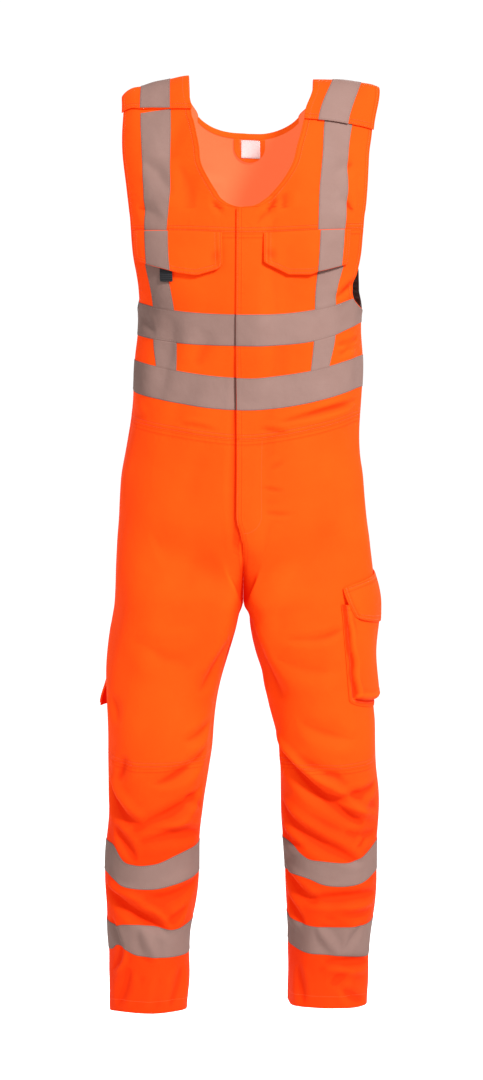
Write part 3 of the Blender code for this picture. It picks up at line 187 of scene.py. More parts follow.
# Back neckline: its height at a distance from the centre, up to the foot of the straps.
BACK_NECK = table(
    "across height",
    (0.000, -0.0720), (0.030, -0.0700), (0.050, -0.0650), (0.066, -0.0575), (0.078, -0.0490),
    (0.084, -0.0430),
)
STRAP_SHORT = 0.012      # how far below the crown the front panels end, under the straps
FACING = 0.008           # width of the facing inside the back neckline
STRAP_FOOT = -0.043      # height where the back straps leave the neckline
STRAP_IN = 0.084         # and their inner edge there
STRAP_CROWN = {"right": 0.0975, "left": 0.1065}      # inner edge of each strap on its crown
UNDER_STRAP = 0.002      # how far the front's neckline stays back from the strap's edge above it
# Level lines round the bodice: at centre front, right and left seam, centre back, and how late it rises.
LINES = {
    "waist": (-0.571, -0.546, -0.537, -0.545, 0.55),
    "lower_band_foot": (-0.523, -0.497, -0.490, -0.500, 0.70),
    "lower_band_top": (-0.471, -0.446, -0.439, -0.450, 0.70),
    "upper_band_foot": (-0.419, -0.405, -0.384, -0.404, 1.20),
    "upper_band_top": (-0.369, -0.351, -0.337, -0.354, 1.10),
    "under_flap": (-0.278, -0.272, -0.274, -0.280, 1.00),
    "yoke": (-0.238, -0.229, -0.227, -0.229, 0.45),
}
SOFT = 0.006             # keeps such a line from turning sharply at the centre
# Where the shoulder flaps end in front: heights at the flap's inner and outer edge.
FLAP_END = {"right": (-0.034, -0.016), "left": (-0.050, -0.058)}
# Way by which the tape drifts towards a shoulder flap's end, and on a chest flap at both edges.
FLAP_TAPE_DRIFT = {"right": 0.0, "left": -0.036}
CHEST_TAPE_SHIFT = {"right": (-0.026, -0.026), "left": (0.0, -0.026)}
# A chest flap's lower edge, straight from corner to corner: share of its width, and level.
FLAP_FOOT = {
    "right": table(
        "share foot", (0.000, -0.2890), (0.040, -0.2955), (0.230, -0.3042), (0.270, -0.3044),
        (0.436, -0.3004), (0.586, -0.2941), (0.918, -0.2820), (1.000, -0.2788),
    ),
    "left": table(
        "share foot", (0.000, -0.2845), (0.030, -0.2885), (0.235, -0.3042), (0.485, -0.3036),
        (0.567, -0.2986), (0.942, -0.2883), (1.000, -0.2870),
    ),
}
FLAP_MIDDLE = np.array(-0.262)                   # level halfway down the chest flaps
# The black tab: across, and up.
TAB_ACROSS, TAB_LEVELS, TAB_LIFT, TAB_WALL = (0.1205, 0.1380), (-0.3150, -0.2850), 0.0022, 0.0018
# The plain label and the hanger loop inside the back neckline.
TRIM_WALL = 0.0009
LABEL_ACROSS, LABEL_LEVELS = (-0.011, 0.020), (-0.110, -0.081)
LOOP_TOP, LOOP_DROP, LOOP_RADIUS, LOOP_WIDTH, LOOP_CENTRE = -0.0795, 0.038, 0.026, 0.009, 0.002

# Inner and outer edge of each leg, and how far its front and back stand from the side seam.
LEGS = table(
    "level right_outer right_inner left_inner left_outer front back",
    (-0.760, -0.2223, -0.0095, -0.0075, 0.2027, 0.112, 0.134),
    (-0.800, -0.2255, -0.0095, -0.0075, 0.2065, 0.112, 0.130),
    (-0.840, -0.2278, -0.0095, -0.0075, 0.2078, 0.111, 0.125),
    (-0.848, -0.2282, -0.0105, -0.0060, 0.2080, 0.110, 0.124),
    (-0.862, -0.2290, -0.0157, 0.0010, 0.2085, 0.109, 0.121),
    (-0.900, -0.2330, -0.0258, 0.0088, 0.2095, 0.106, 0.115),
    (-0.940, -0.2345, -0.0370, 0.0165, 0.2110, 0.103, 0.110),
    (-0.980, -0.2362, -0.0458, 0.0262, 0.2125, 0.099, 0.105),
    (-1.020, -0.2382, -0.0515, 0.0325, 0.2148, 0.096, 0.098),
    (-1.060, -0.2395, -0.0562, 0.0390, 0.2165, 0.094, 0.091),
    (-1.100, -0.2399, -0.0620, 0.0452, 0.2158, 0.091, 0.085),
    (-1.140, -0.2404, -0.0712, 0.0503, 0.2155, 0.088, 0.081),
    (-1.180, -0.2416, -0.0780, 0.0540, 0.2172, 0.084, 0.081),
    (-1.220, -0.2413, -0.0810, 0.0562, 0.2177, 0.081, 0.084),
    (-1.260, -0.2425, -0.0838, 0.0592, 0.2183, 0.079, 0.087),
    (-1.300, -0.2433, -0.0860, 0.0611, 0.2198, 0.078, 0.088),
    (-1.340, -0.2446, -0.0892, 0.0622, 0.2198, 0.077, 0.087),
    (-1.380, -0.2435, -0.0935, 0.0648, 0.2165, 0.077, 0.085),
    (-1.420, -0.2420, -0.0988, 0.0672, 0.2108, 0.077, 0.083),
    (-1.460, -0.2395, -0.0998, 0.0665, 0.2080, 0.078, 0.082),
    (-1.500, -0.2408, -0.1005, 0.0680, 0.2075, 0.079, 0.082),
    (-1.545, -0.2412, -0.1050, 0.0685, 0.2045, 0.080, 0.083),
    (-1.580, -0.2412, -0.1055, 0.0685, 0.2035, 0.080, 0.083),
)
# Level lines round each leg: edges of its two tapes, knee seam and hem.
LEG_LINES = {
    "right": table(
        "way upper_top upper_foot lower_top lower_foot knee hem",
        (0.00, -1.264, -1.318, -1.400, -1.455, -1.114, -1.5560),
        (0.12, -1.266, -1.319, -1.399, -1.454, -1.115, -1.5510),
        (0.33, -1.276, -1.325, -1.403, -1.451, -1.118, -1.5460),
        (0.48, -1.288, -1.331, -1.397, -1.449, -1.119, -1.5455),
        (0.60, -1.290, -1.330, -1.394, -1.446, -1.120, -1.5450),
        (0.69, -1.284, -1.327, -1.396, -1.438, -1.119, -1.5465),
        (0.76, -1.264, -1.320, -1.401, -1.434, -1.117, -1.5485),
        (0.86, -1.259, -1.313, -1.399, -1.446, -1.114, -1.5530),
        (1.00, -1.262, -1.314, -1.400, -1.452, -1.113, -1.5580),
        (1.25, -1.270, -1.321, -1.403, -1.454, -1.115, -1.5640),
        (1.50, -1.276, -1.327, -1.405, -1.457, -1.117, -1.5670),
        (1.75, -1.271, -1.323, -1.403, -1.456, -1.115, -1.5630),
        (2.00, -1.264, -1.318, -1.400, -1.455, -1.114, -1.5560),
    ),
    "left": table(
        "way upper_top upper_foot lower_top lower_foot knee hem",
        (0.00, -1.254, -1.310, -1.388, -1.439, -1.119, -1.5480),
        (0.12, -1.254, -1.311, -1.389, -1.439, -1.121, -1.5440),
        (0.24, -1.262, -1.309, -1.394, -1.442, -1.122, -1.5400),
        (0.36, -1.280, -1.314, -1.397, -1.444, -1.123, -1.5375),
        (0.44, -1.282, -1.322, -1.397, -1.444, -1.123, -1.5370),
        (0.64, -1.286, -1.326, -1.398, -1.449, -1.123, -1.5385),
        (0.76, -1.275, -1.321, -1.399, -1.454, -1.122, -1.5410),
        (0.88, -1.262, -1.312, -1.399, -1.457, -1.121, -1.5440),
        (1.00, -1.262, -1.313, -1.399, -1.456, -1.119, -1.5490),
        (1.25, -1.269, -1.319, -1.401, -1.455, -1.120, -1.5550),
        (1.50, -1.273, -1.324, -1.401, -1.453, -1.121, -1.5590),
        (1.75, -1.264, -1.318, -1.396, -1.447, -1.120, -1.5550),
        (2.00, -1.254, -1.310, -1.388, -1.439, -1.119, -1.5480),
    ),
}

# Folds: from one place to another, how wide and how deep (a negative depth is a ridge), how far the line
# bows away from straight, and how much more cloth it pushes up on one side than on the other.
FOLD_NAMES = "way_a level_a way_b level_b width depth bow lean"


def folds(*rows):
    """A table of folds, written with width, depth and bow in millimetres."""
    tab = table(FOLD_NAMES, *rows)
    tab.update({name: tab[name] / 1000 for name in ("width", "depth", "bow")})
    return tab


LEG_FOLDS = {
    "right": folds(
        # below the knee in front
        (0.16, -1.092, 0.52, -1.150, 13, 4.5, 6, 0.3), (0.92, -1.152, 0.56, -1.222, 14, 8.5, -10, 0.5),
        (0.62, -1.222, 0.14, -1.160, 13, 6, -8, -0.4), (0.66, -1.232, 0.30, -1.233, 9, 3, 4, 0.2),
        (0.58, -1.248, 0.06, -1.246, 12, 5.5, 8, 0.4), (0.78, -1.226, 0.58, -1.284, 10, 4.5, 3, 0.0),
        (0.69, -1.102, 0.75, -1.150, 15, 3.5, 0, 0.0), (0.30, -1.172, 0.10, -1.200, 9, 2.5, 3, 0.0),
        # between the tapes
        (0.90, -1.338, 0.34, -1.412, 12, 10.5, 6, 0.7), (0.06, -1.326, 0.54, -1.350, 13, 5, 6, -0.3),
        (0.72, -1.342, 0.48, -1.362, 8, 2.8, 0, 0.0), (0.20, -1.365, 0.40, -1.392, 9, 3, 4, 0.3),
        # lower tape and hem
        (0.82, -1.388, 0.71, -1.436, 10, 3, -4, 0.4), (0.70, -1.430, 0.86, -1.480, 9, 3.5, 6, 0.6),
        (0.54, -1.396, 0.44, -1.458, 10, -3, 0, 0.0), (0.64, -1.470, 0.76, -1.538, 15, 3.8, 4, 0.2),
        (0.20, -1.470, 0.32, -1.540, 16, 3, 3, 0.0), (0.46, -1.480, 0.50, -1.545, 15, -2.2, 0, 0.0),
        # thigh
        (0.12, -1.050, 0.38, -1.075, 12, 3, 4, 0.2), (0.10, -0.905, 0.30, -1.000, 22, 4, 10, 0.0),
        (0.70, -0.900, 0.40, -0.960, 18, 2, 6, 0.0), (0.84, -1.000, 0.76, -1.052, 12, 2, 6, -0.5),
        (0.034, -0.500, 0.027, -0.765, 5, 4, 1, 0.4),
        # behind the knee and the seat
        (1.06, -1.075, 1.62, -1.115, 15, 8.5, 10, 0.5), (1.90, -1.060, 1.40, -1.150, 15, 8, 8, -0.4),
        (1.10, -1.168, 1.72, -1.150, 14, 7.5, -9, 0.4), (1.88, -1.195, 1.30, -1.235, 14, 6.5, 6, 0.3),
        (1.12, -1.238, 1.52, -1.208, 12, 5, 4, 0.2), (1.10, -1.350, 1.66, -1.385, 14, 6, 7, 0.4),
        (1.92, -1.335, 1.48, -1.362, 12, 5, 4, 0.0), (1.30, -1.425, 1.82, -1.400, 13, 4.5, 5, 0.2),
        (1.25, -1.480, 1.42, -1.550, 15, 3.5, 4, 0.0), (1.70, -1.475, 1.62, -1.548, 14, 3, 3, 0.0),
        (1.18, -0.862, 1.88, -0.900, 17, 7, -20, 0.4), (1.30, -0.905, 1.92, -0.930, 14, 5, -12, 0.2),
        (1.55, -0.960, 1.90, -0.990, 14, 3.8, -6, 0.2), (1.94, -0.850, 1.62, -0.770, 15, 5, 8, 0.2),
        (1.20, -0.640, 1.50, -0.700, 16, 2.5, 6, 0.0), (1.75, -0.620, 1.60, -0.720, 18, 2.2, 5, 0.0),
    ),
    "left": folds(
        # below the knee in front
        (0.06, -1.080, 0.74, -1.224, 13, 10.5, 4, -0.7), (0.48, -1.176, 0.94, -1.214, 11, -4.5, 4, 0.0),
        (0.50, -1.172, 0.92, -1.158, 10, 5, 5, 0.3), (0.50, -1.170, 0.72, -1.196, 8, 2.8, 0, 0.2),
        (0.06, -1.188, 0.72, -1.292, 12, 6.8, 4, -0.4), (0.05, -1.236, 0.34, -1.262, 10, 3.5, 3, 0.0),
        (0.58, -1.232, 0.92, -1.240, 10, 3, 6, 0.0), (0.30, -1.100, 0.60, -1.140, 11, 2.8, 3, 0.0),
        (0.66, -1.262, 0.76, -1.250, 5, 1.8, 0, 0.0),
        # between the tapes
        (0.05, -1.306, 0.42, -1.356, 12, 6.5, 3, -0.3), (0.32, -1.350, 0.92, -1.350, 11, 6, -4, 0.5),
        (0.10, -1.356, 0.30, -1.396, 10, 4.5, 0, 0.2), (0.50, -1.368, 0.86, -1.378, 9, 2.6, 3, 0.0),
        # lower tape and hem
        (0.46, -1.458, 0.88, -1.468, 9, 6, -4, 0.6), (0.56, -1.500, 0.84, -1.532, 11, 3.4, 4, 0.3),
        (0.40, -1.396, 0.56, -1.446, 9, -3, 0, 0.0), (0.74, -1.396, 0.60, -1.440, 9, 2.5, 2, 0.0),
        (0.24, -1.466, 0.30, -1.536, 14, 3.2, 3, 0.0), (0.64, -1.476, 0.50, -1.500, 13, 3, 3, 0.0),
        # thigh
        (0.05, -0.870, 0.26, -1.010, 22, 5.5, 8, 0.2), (0.42, -0.905, 0.66, -0.885, 8, 1.6, 3, 0.0),
        (0.30, -0.930, 0.62, -0.960, 20, 2.2, 5, 0.0), (0.07, -0.690, 0.22, -0.693, 5, 0.8, 1, 0.2),
        (0.06, -0.648, 0.17, -0.655, 4, 0.9, 1, 0.2), (0.10, -0.618, 0.17, -0.606, 6, 0.6, 1, 0.0),
        (0.35, -1.040, 0.70, -1.075, 16, 2.8, 4, 0.2),
        # behind the knee and the seat
        (1.08, -1.090, 1.70, -1.125, 15, 8.8, 8, 0.4), (1.92, -1.072, 1.46, -1.162, 14, 7.5, 6, -0.3),
        (1.05, -1.178, 1.60, -1.158, 14, 7, -8, 0.5), (1.85, -1.205, 1.22, -1.238, 13, 6.2, 8, 0.2),
        (1.15, -1.252, 1.60, -1.225, 12, 4.5, 4, 0.0), (1.15, -1.340, 1.74, -1.372, 14, 6.2, 6, 0.3),
        (1.90, -1.322, 1.55, -1.345, 11, 4.2, 3, 0.0), (1.20, -1.412, 1.70, -1.388, 13, 4.8, 5, 0.2),
        (1.32, -1.470, 1.38, -1.545, 15, 3.2, 3, 0.0), (1.78, -1.465, 1.66, -1.540, 14, 3.5, 3, 0.0),
        (1.15, -0.870, 1.86, -0.905, 17, 6.8, -18, 0.4),
        (1.36, -0.918, 1.92, -0.938, 14, 4.8, -10, 0.2), (1.62, -0.975, 1.92, -1.000, 13, 3.5, -5, 0.2),
        (1.94, -0.848, 1.66, -0.775, 15, 5, 6, 0.2), (1.25, -0.650, 1.48, -0.715, 16, 2.2, 5, 0.0),
        (1.72, -0.630, 1.64, -0.730, 17, 2.4, 4, 0.0),
    ),
}
FRONT_FOLDS = {
    "right": folds(
        (0.14, -0.186, 0.09, -0.210, 4.5, 1.6, 1, 0.3), (0.52, -0.112, 0.34, -0.178, 12, 2.2, 4, 0.2),
        (0.60, -0.190, 0.40, -0.216, 10, 1.8, 2, 0.0), (0.30, -0.120, 0.22, -0.200, 18, 2, 3, 0.0),
        (0.86, -0.372, 0.60, -0.400, 10, 2, 3, 0.0), (0.34, -0.546, 0.10, -0.556, 4.5, 1.4, 1, 0.2),
        (0.90, -0.530, 0.60, -0.545, 10, 1.2, 2, 0.2), (0.20, -0.395, 0.24, -0.455, 18, 1.6, 2, 0.0),
        (0.040, -0.360, 0.036, -0.640, 4.8, 1.8, 1, 0.4), (0.44, -0.372, 0.50, -0.520, 22, 1.8, 3, 0.0),
    ),
    "left": folds(
        (0.10, -0.180, 0.06, -0.216, 4, 2.2, 1, 0.4), (0.055, -0.204, 0.02, -0.228, 3.2, 1.4, 1, 0.2),
        (0.15, -0.170, 0.13, -0.205, 8, 1.4, 2, 0.0), (0.54, -0.120, 0.36, -0.150, 12, 2, 3, 0.2),
        (0.56, -0.205, 0.42, -0.180, 10, 1.8, 3, 0.0), (0.46, -0.345, 0.66, -0.312, 8, 1.8, 2, 0.0),
        (0.52, -0.420, 0.86, -0.410, 5.5, 2.2, 2, 0.3), (0.54, -0.436, 0.82, -0.424, 5.5, 2.2, -2, 0.3),
        (0.12, -0.546, 0.76, -0.519, 5.5, 3, -6, 0.4), (0.30, -0.531, 0.84, -0.512, 4.8, 1.8, -4, 0.2),
        (0.05, -0.552, 0.20, -0.558, 4.5, 1.4, 1, 0.0), (0.13, -0.585, 0.06, -0.590, 4.5, 1.2, 1, 0.0),
        (0.14, -0.372, 0.17, -0.520, 20, 1.6, 2, 0.0), (0.30, -0.372, 0.33, -0.520, 22, -1.6, 2, 0.0),
    ),
}
BACK_FOLDS = {
    "right": folds(
        (0.08, -0.150, 0.45, -0.210, 16, 3, 6, 0.2), (0.62, -0.300, 0.20, -0.330, 14, 3.5, 6, 0.2),
        (0.10, -0.420, 0.50, -0.428, 8, 2.8, 3, 0.2), (0.88, -0.425, 0.40, -0.440, 8, 3.2, 3, 0.3),
        (0.90, -0.512, 0.30, -0.525, 9, 3.5, 3, 0.3), (0.12, -0.515, 0.55, -0.536, 7, 2.6, 2, 0.2),
        (0.30, -0.240, 0.26, -0.345, 20, 2.6, 4, 0.0),
    ),
    "left": folds(
        (0.10, -0.170, 0.50, -0.200, 16, 2.8, 5, 0.2), (0.58, -0.290, 0.15, -0.322, 13, 3.4, 6, 0.2),
        (0.06, -0.430, 0.44, -0.418, 8, 3, 3, 0.2), (0.92, -0.415, 0.48, -0.432, 8, 3, 3, 0.3),
        (0.86, -0.505, 0.35, -0.520, 9, 3.4, 3, 0.3), (0.08, -0.528, 0.48, -0.514, 7, 2.8, 2, 0.2),
        (0.34, -0.230, 0.30, -0.340, 20, 2.4, 4, 0.0),
    ),
}
RIDGE_SHARE, RIDGE_SHIFT = 0.42, 1.65        # each trough pushes up a ridge on both sides
FOLD_GAIN = 1.6                              # all depths together
FOLD_POINT = 1.45                            # 2 is a round trough, 1 a sharp one


# ---------------------------------------------------------------- the two forms
def bend(value, power):
    """The power of a number's size, with the number's own sign."""
    return np.sign(value) * np.abs(value) ** power


def smoothstep(low, high, value):
    """0 below low, 1 above high, and a soft S between them."""
    u = np.clip((value - low) / (high - low), 0.0, 1.0)
    return u * u * (3 - 2 * u)


def height_of(run):
    """The height a run reaches at the neck: level up to the spring line, then along the arch and down."""
    run = np.minimum(run, 2 * OVER - run)
    angle = np.clip(run / OVER, 0.0, 1.0) * math.pi / 2
    return SPRING + np.minimum(run, 0.0) + (CROWN - SPRING) * np.sin(angle) ** (2 / ARCH)


def run_of(height):
    """The run on the front at which the bodice has this height beside the neck."""
    share = np.clip((height - SPRING) / (CROWN - SPRING), 0.0, 1.0)
    return np.minimum(height - SPRING, 0.0) + OVER * np.arcsin(share ** (ARCH / 2)) / (math.pi / 2)


def bodice(side, way, run):
    """A point of the bodice: a superellipse ring whose depth closes over the shoulder as the run climbs."""
    height = height_of(run)
    across = read(BODY, "half_width", height) * bend(np.sin(way * math.pi / 2), 2 / RING)
    x = read(BODY, "centre", height) + side * across
    rise = (np.maximum(height, SPRING) - SPRING) / (CROWN - SPRING)
    to_left = smoothstep(-SHOULDER["across"][0], SHOULDER["across"][0], x)
    top = (1 - to_left) * read(SHOULDER, "right", np.abs(x)) + to_left * read(SHOULDER, "left", np.abs(x))
    z = np.minimum(height, SPRING) + rise * (top - SPRING)
    lean = np.cos(np.clip(run / OVER, 0.0, 2.0) * math.pi / 2)
    depth = np.where(run < OVER, read(BODY, "front", height), read(BODY, "back", height))
    y = -depth * bend(lean, 2 / ARCH) * bend(np.cos(way * math.pi / 2), 2 / RING)
    return np.stack([x, y, z], axis=-1)


def hip_ring(side, way, level):
    """The same ring, all the way from centre front to centre back."""
    angle = way * math.pi / 2
    across = read(BODY, "half_width", level) * bend(np.sin(angle), 2 / RING)
    x = read(BODY, "centre", level) + side * across
    depth = np.where(way < 1, read(BODY, "front", level), read(BODY, "back", level))
    return np.stack([x, -depth * bend(np.cos(angle), 2 / RING), level], axis=-1)


def leg_ring(side, way, level):
    """A ring round one leg, from the inseam over the front to the outseam and back behind."""
    name = NAMES[side]
    inner, outer = read(LEGS, name + "_inner", level), read(LEGS, name + "_outer", level)
    angle = way * math.pi
    power = 2 / (LEG_RING + FORK_SQUARE * smoothstep(*FORK_SQUARE_LEVELS, level) * (np.cos(angle) > 0))
    x = (inner + outer) / 2 + (inner - outer) / 2 * bend(np.cos(angle), power)
    depth = np.where(np.sin(angle) > 0, read(LEGS, "front", level), read(LEGS, "back", level))
    return np.stack([x, -depth * bend(np.sin(angle), power), level], axis=-1)


def bare_leg(side, way, level):
    """Half of the trousers without folds: the hip ring turns into the leg ring from the fork to the crotch.

    Near the centre seam the change follows a quarter circle, which gives the seam its curve under the crotch.
    """
    down = np.clip((FORK_TOP - level) / (FORK_TOP - CROTCH), 0.0, 1.0)
    from_seam = np.minimum(np.abs(way), np.abs(2 - way))
    sharp = np.exp(-(from_seam / FORK_SPREAD) ** 2)
    curve = (1 - np.sqrt(1 - (FORK_CURVE * down) ** 2)) / (1 - math.sqrt(1 - FORK_CURVE ** 2))
    soft = down * down * (3 - 2 * down)
    sideways = sharp * curve + (1 - sharp) * soft
    inner = 1 - smoothstep(0.10, 0.48, from_seam)
    back = inner * curve + (1 - inner) * soft
    share = np.stack([sideways, back, sideways], axis=-1)
    return (1 - share) * hip_ring(side, way, level) + share * leg_ring(side, way, level)


def fold_relief(folds, way, run):
    """The sum of all folds. Each is a bowed trough that narrows and fades towards its ends.

    Across the fold: a bell curve down the middle, less a smaller bell on each side, one of them the larger.
    """
    total = np.zeros(np.broadcast(way, run).shape)
    for way_a, run_a, way_b, run_b, width, depth, bow, lean in zip(*folds.values()):
        start = np.array([way_a * WAY_LENGTH, run_a])
        along = np.array([way_b * WAY_LENGTH, run_b]) - start
        length = np.hypot(*along)
        along = along / length
        offset_x, offset_z = way * WAY_LENGTH - start[0], run - start[1]
        share = np.clip((offset_x * along[0] + offset_z * along[1]) / length, 0.0, 1.0)
        fade = np.sin(share * math.pi) ** 0.8
        aside = offset_x * along[1] - offset_z * along[0] - 4 * bow * share * (1 - share)
        beside = aside / (width * (0.55 + 0.45 * fade))
        ahead, back = (np.exp(-(beside + shift) ** 2) for shift in (-RIDGE_SHIFT, RIDGE_SHIFT))
        ridges = (1 + lean) * ahead + (1 - lean) * back
        total -= FOLD_GAIN * depth * fade * (np.exp(-np.abs(beside) ** FOLD_POINT) - RIDGE_SHARE * ridges)
    return total


WAVES = 16
WAVE_RANDOM = np.random.default_rng(11)
WAVE_LENGTHS = np.geomspace(0.26, 0.045, WAVES)[:, None]
WAVE_TURNS = WAVE_RANDOM.normal(size=(WAVES, 3)) * (1.0, 1.0, 0.8)
WAVE_TURNS *= 2 * math.pi / WAVE_LENGTHS / np.linalg.norm(WAVE_TURNS, axis=1, keepdims=True)
WAVE_STARTS = WAVE_RANDOM.uniform(0, 2 * math.pi, WAVES)
WAVE_HEIGHTS = 0.0016 * (WAVE_LENGTHS[:, 0] / WAVE_LENGTHS[0, 0])


def unevenness(points):
    """Shallow waves of the cloth: a sum of sines of the place in space, long ones high and short ones low."""
    return np.sin(points @ WAVE_TURNS.T + WAVE_STARTS) @ WAVE_HEIGHTS


WAY_STEP, RUN_STEP = 0.003, 0.0015           # steps along a form that give its outward direction


class Form:
    """One side of the bodice, or one leg: where a place lies with its folds, and which way is out."""

    def __init__(self, bare, side, folds, near_seam):
        self.bare = lambda way, run: bare(side, way, run)
        self.side, self.folds, self.near_seam = side, folds, near_seam

    def outward(self, place, way, run):
        """Unit vectors out of a surface, square to small steps along way and run."""
        across = place(way + WAY_STEP, run) - place(way - WAY_STEP, run)
        up = place(way, run + RUN_STEP) - place(way, run - RUN_STEP)
        normal = self.side * np.cross(across, up)
        return normal / np.maximum(np.linalg.norm(normal, axis=-1, keepdims=True), 1e-12)

    def folded(self, way, run):
        """The form with its folds and waves. Folds fade at the seams, where the next piece starts."""
        bare = self.bare(way, run)
        fade = smoothstep(-0.01, 0.07, self.near_seam(way, run))
        relief = fold_relief(self.folds, way, run) * fade + unevenness(bare)
        return bare + self.outward(self.bare, way, run) * relief[..., None]

    def laid(self, way, run, lift=0.0):
        """Points a distance above the folded cloth, and the outward directions there."""
        normals = self.outward(self.folded, way, run)
        lift = np.broadcast_to(np.asarray(lift, dtype=float), normals.shape[:-1])
        return self.folded(way, run) + normals * lift[..., None], normals


def on_back(level):
    """The run of a level on the back of the bodice."""
    return 2 * OVER - run_of(level)


def bodice_folds(name):
    """The folds of one side of the bodice, with runs in place of levels."""
    joined = {}
    for column in FOLD_NAMES.split():
        front, back = FRONT_FOLDS[name][column], BACK_FOLDS[name][column]
        if column.startswith("level"):
            front, back = run_of(front), on_back(back)
        joined[column] = np.concatenate([front, back])
    return joined


def near_bodice_seam(way, run):
    """How near a place is to the side seam, or on the back to the centre, as a way."""
    return np.minimum(np.abs(1 - way), np.where(run > OVER, np.abs(way), 1.0))


def near_inseam(way, run):
    """How near a place on a leg is to its inseam, as a way."""
    return np.minimum(np.abs(way), np.abs(2 - way))


BODICE = {name: Form(bodice, side, bodice_folds(name), near_bodice_seam) for name, side in SIDES.items()}
LEG = {name: Form(bare_leg, side, LEG_FOLDS[name], near_inseam) for name, side in SIDES.items()}


# ---------------------------------------------------------------- lines and grids of places
def level_line(name, side):
    """A line round the bodice: it leaves the centre at one level and reaches the side seam at another."""
    front, right, left, back, late = LINES[name]
    beside = right if side < 0 else left

    def line(way, behind=False):
        swing = (1 - np.cos(np.clip(np.abs(way), 0.0, 1.0) * math.pi)) / 2
        share = ((swing + SOFT) ** late - SOFT ** late) / ((1 + SOFT) ** late - SOFT ** late)
        centre = back if behind else front
        return centre + (beside - centre) * share

    return line


def behind(line):
    """A line round the bodice, read on the back."""
    return lambda way: line(way, behind=True)


def leg_line(name, side):
    """A line round a leg, or the waist line, as a function of the way."""
    if name == "waist":
        line = level_line(name, side)
        return lambda way: np.where(way < 1, line(way), line(2 - way, behind=True))
    return lambda way: read(LEG_LINES[NAMES[side]], name, np.clip(way, 0.0, 2.0))


def level_row(level):
    """A line at one level."""
    return lambda way: level + 0 * way


def way_at(distance, level):
    """The way at which the bodice ring reaches a distance from its centre line, on either side of it."""
    share = np.clip(np.abs(distance) / read(BODY, "half_width", level), 0.0, 1.0)
    return np.sign(distance) * np.arcsin(share ** (RING / 2)) * 2 / math.pi


def shifted(line, by):
    """A line moved up by a distance."""
    return lambda *place: line(*place) + by


def front_line(name, side):
    """One of the upright lines on the front."""
    return lambda level: way_at(read(FRONT_LINES, f"{name}_{NAMES[side]}", level), level)


def back_line(name, side):
    """One of the upright lines on the back."""
    return lambda level: way_at(read(BACK_LINES, f"{name}_{NAMES[side]}", level), level)


def spread(anchors, cells):
    """Values between each pair of neighbouring anchors, each pair cut into its own number of equal cells."""
    parts = [a + (b - a) * np.arange(n)[:, None] / n for a, b, n in zip(anchors, anchors[1:], cells)]
    return np.concatenate(parts + [anchors[-1][None]])


def weave(lines, row_cells, edges, column_cells):
    """Way and level of each point of a grid: rows lie between the lines, columns between the edges.

    A line gives a level for a way and an edge gives a way for a level, so both are worked out in turn until
    they agree.
    """
    row_marks, column_marks = np.cumsum([0] + row_cells), np.cumsum([0] + column_cells)
    level = np.linspace(lines[0](np.array(0.5)), lines[-1](np.array(0.5)), row_marks[-1] + 1)
    level = np.repeat(level[:, None], column_marks[-1] + 1, axis=1)
    for _ in range(14):
        anchors = [edge(level[:, j]) + 0 * level[:, j] for edge, j in zip(edges, column_marks)]
        way = spread(anchors, column_cells).T
        level = spread([line(way[i]) for line, i in zip(lines, row_marks)], row_cells)
    return way, level


def cells_for(length):
    """How many grid cells fit a length."""
    return max(2, round(length / CELL))


# ---------------------------------------------------------------- shells of cloth
# the third map carries painted light: painted shade in hollows and where shaded is given, and a painted
# highlight on ridges
CLOTH_MAP, EDGE_MAP, PAINTED_LIGHT_MAP = "cloth", "edges", "creases"
FAR = 0.5                # stands for no stitched edge near
CREASE_REACH = 4         # cells to each side over which a crease is measured
CREASE_FULL = 120.0      # curvature of a full crease or ridge, one over metres
RIDGE_START = 0.15       # share of that from which a ridge counts


def measured(points):
    """Distances along the cloth from the first column and from the first row: running sums of chords."""
    across = np.cumsum(np.linalg.norm(np.diff(points, axis=1), axis=-1), axis=1)
    up = np.cumsum(np.linalg.norm(np.diff(points, axis=0), axis=-1), axis=0)
    return np.pad(across, ((0, 0), (1, 0))), np.pad(up, ((1, 0), (0, 0)))


def creased(points, normals):
    """How hollow and how raised the cloth is at each point, 0 to 1. The finish paints shade by the first and
    a highlight by the second.

    The curvature is how far the mean of four neighbours lies above the point, over a quarter of their
    distance squared. Near a border the outermost points stand in for the missing neighbours.
    """
    k = CREASE_REACH
    wide = np.pad(points, ((k, k), (k, k), (0, 0)), mode="reflect", reflect_type="odd")
    low, middle, high = slice(0, -2 * k), slice(k, -k), slice(2 * k, None)
    total = np.zeros(points.shape[:2])
    for one, other in (((low, middle), (high, middle)), ((middle, low), (middle, high))):
        before, after = (wide[part] - wide[middle, middle] for part in (one, other))
        reach = np.maximum(np.sum(before ** 2, axis=-1) + np.sum(after ** 2, axis=-1), 1e-8) / 2
        total += np.sum((before + after) * normals, axis=-1) / reach
    return np.clip(total / CREASE_FULL, 0.0, 1.0), np.clip(-total / CREASE_FULL - RIDGE_START, 0.0, 1.0)


def quads_of(index, cells=None):
    """The four corners of each cell of a grid of indices."""
    corners = [index[:-1, :-1], index[:-1, 1:], index[1:, 1:], index[1:, :-1]]
    if cells is None:
        return np.stack([corner.ravel() for corner in corners], axis=1)
    return np.stack([corner[cells] for corner in corners], axis=1)


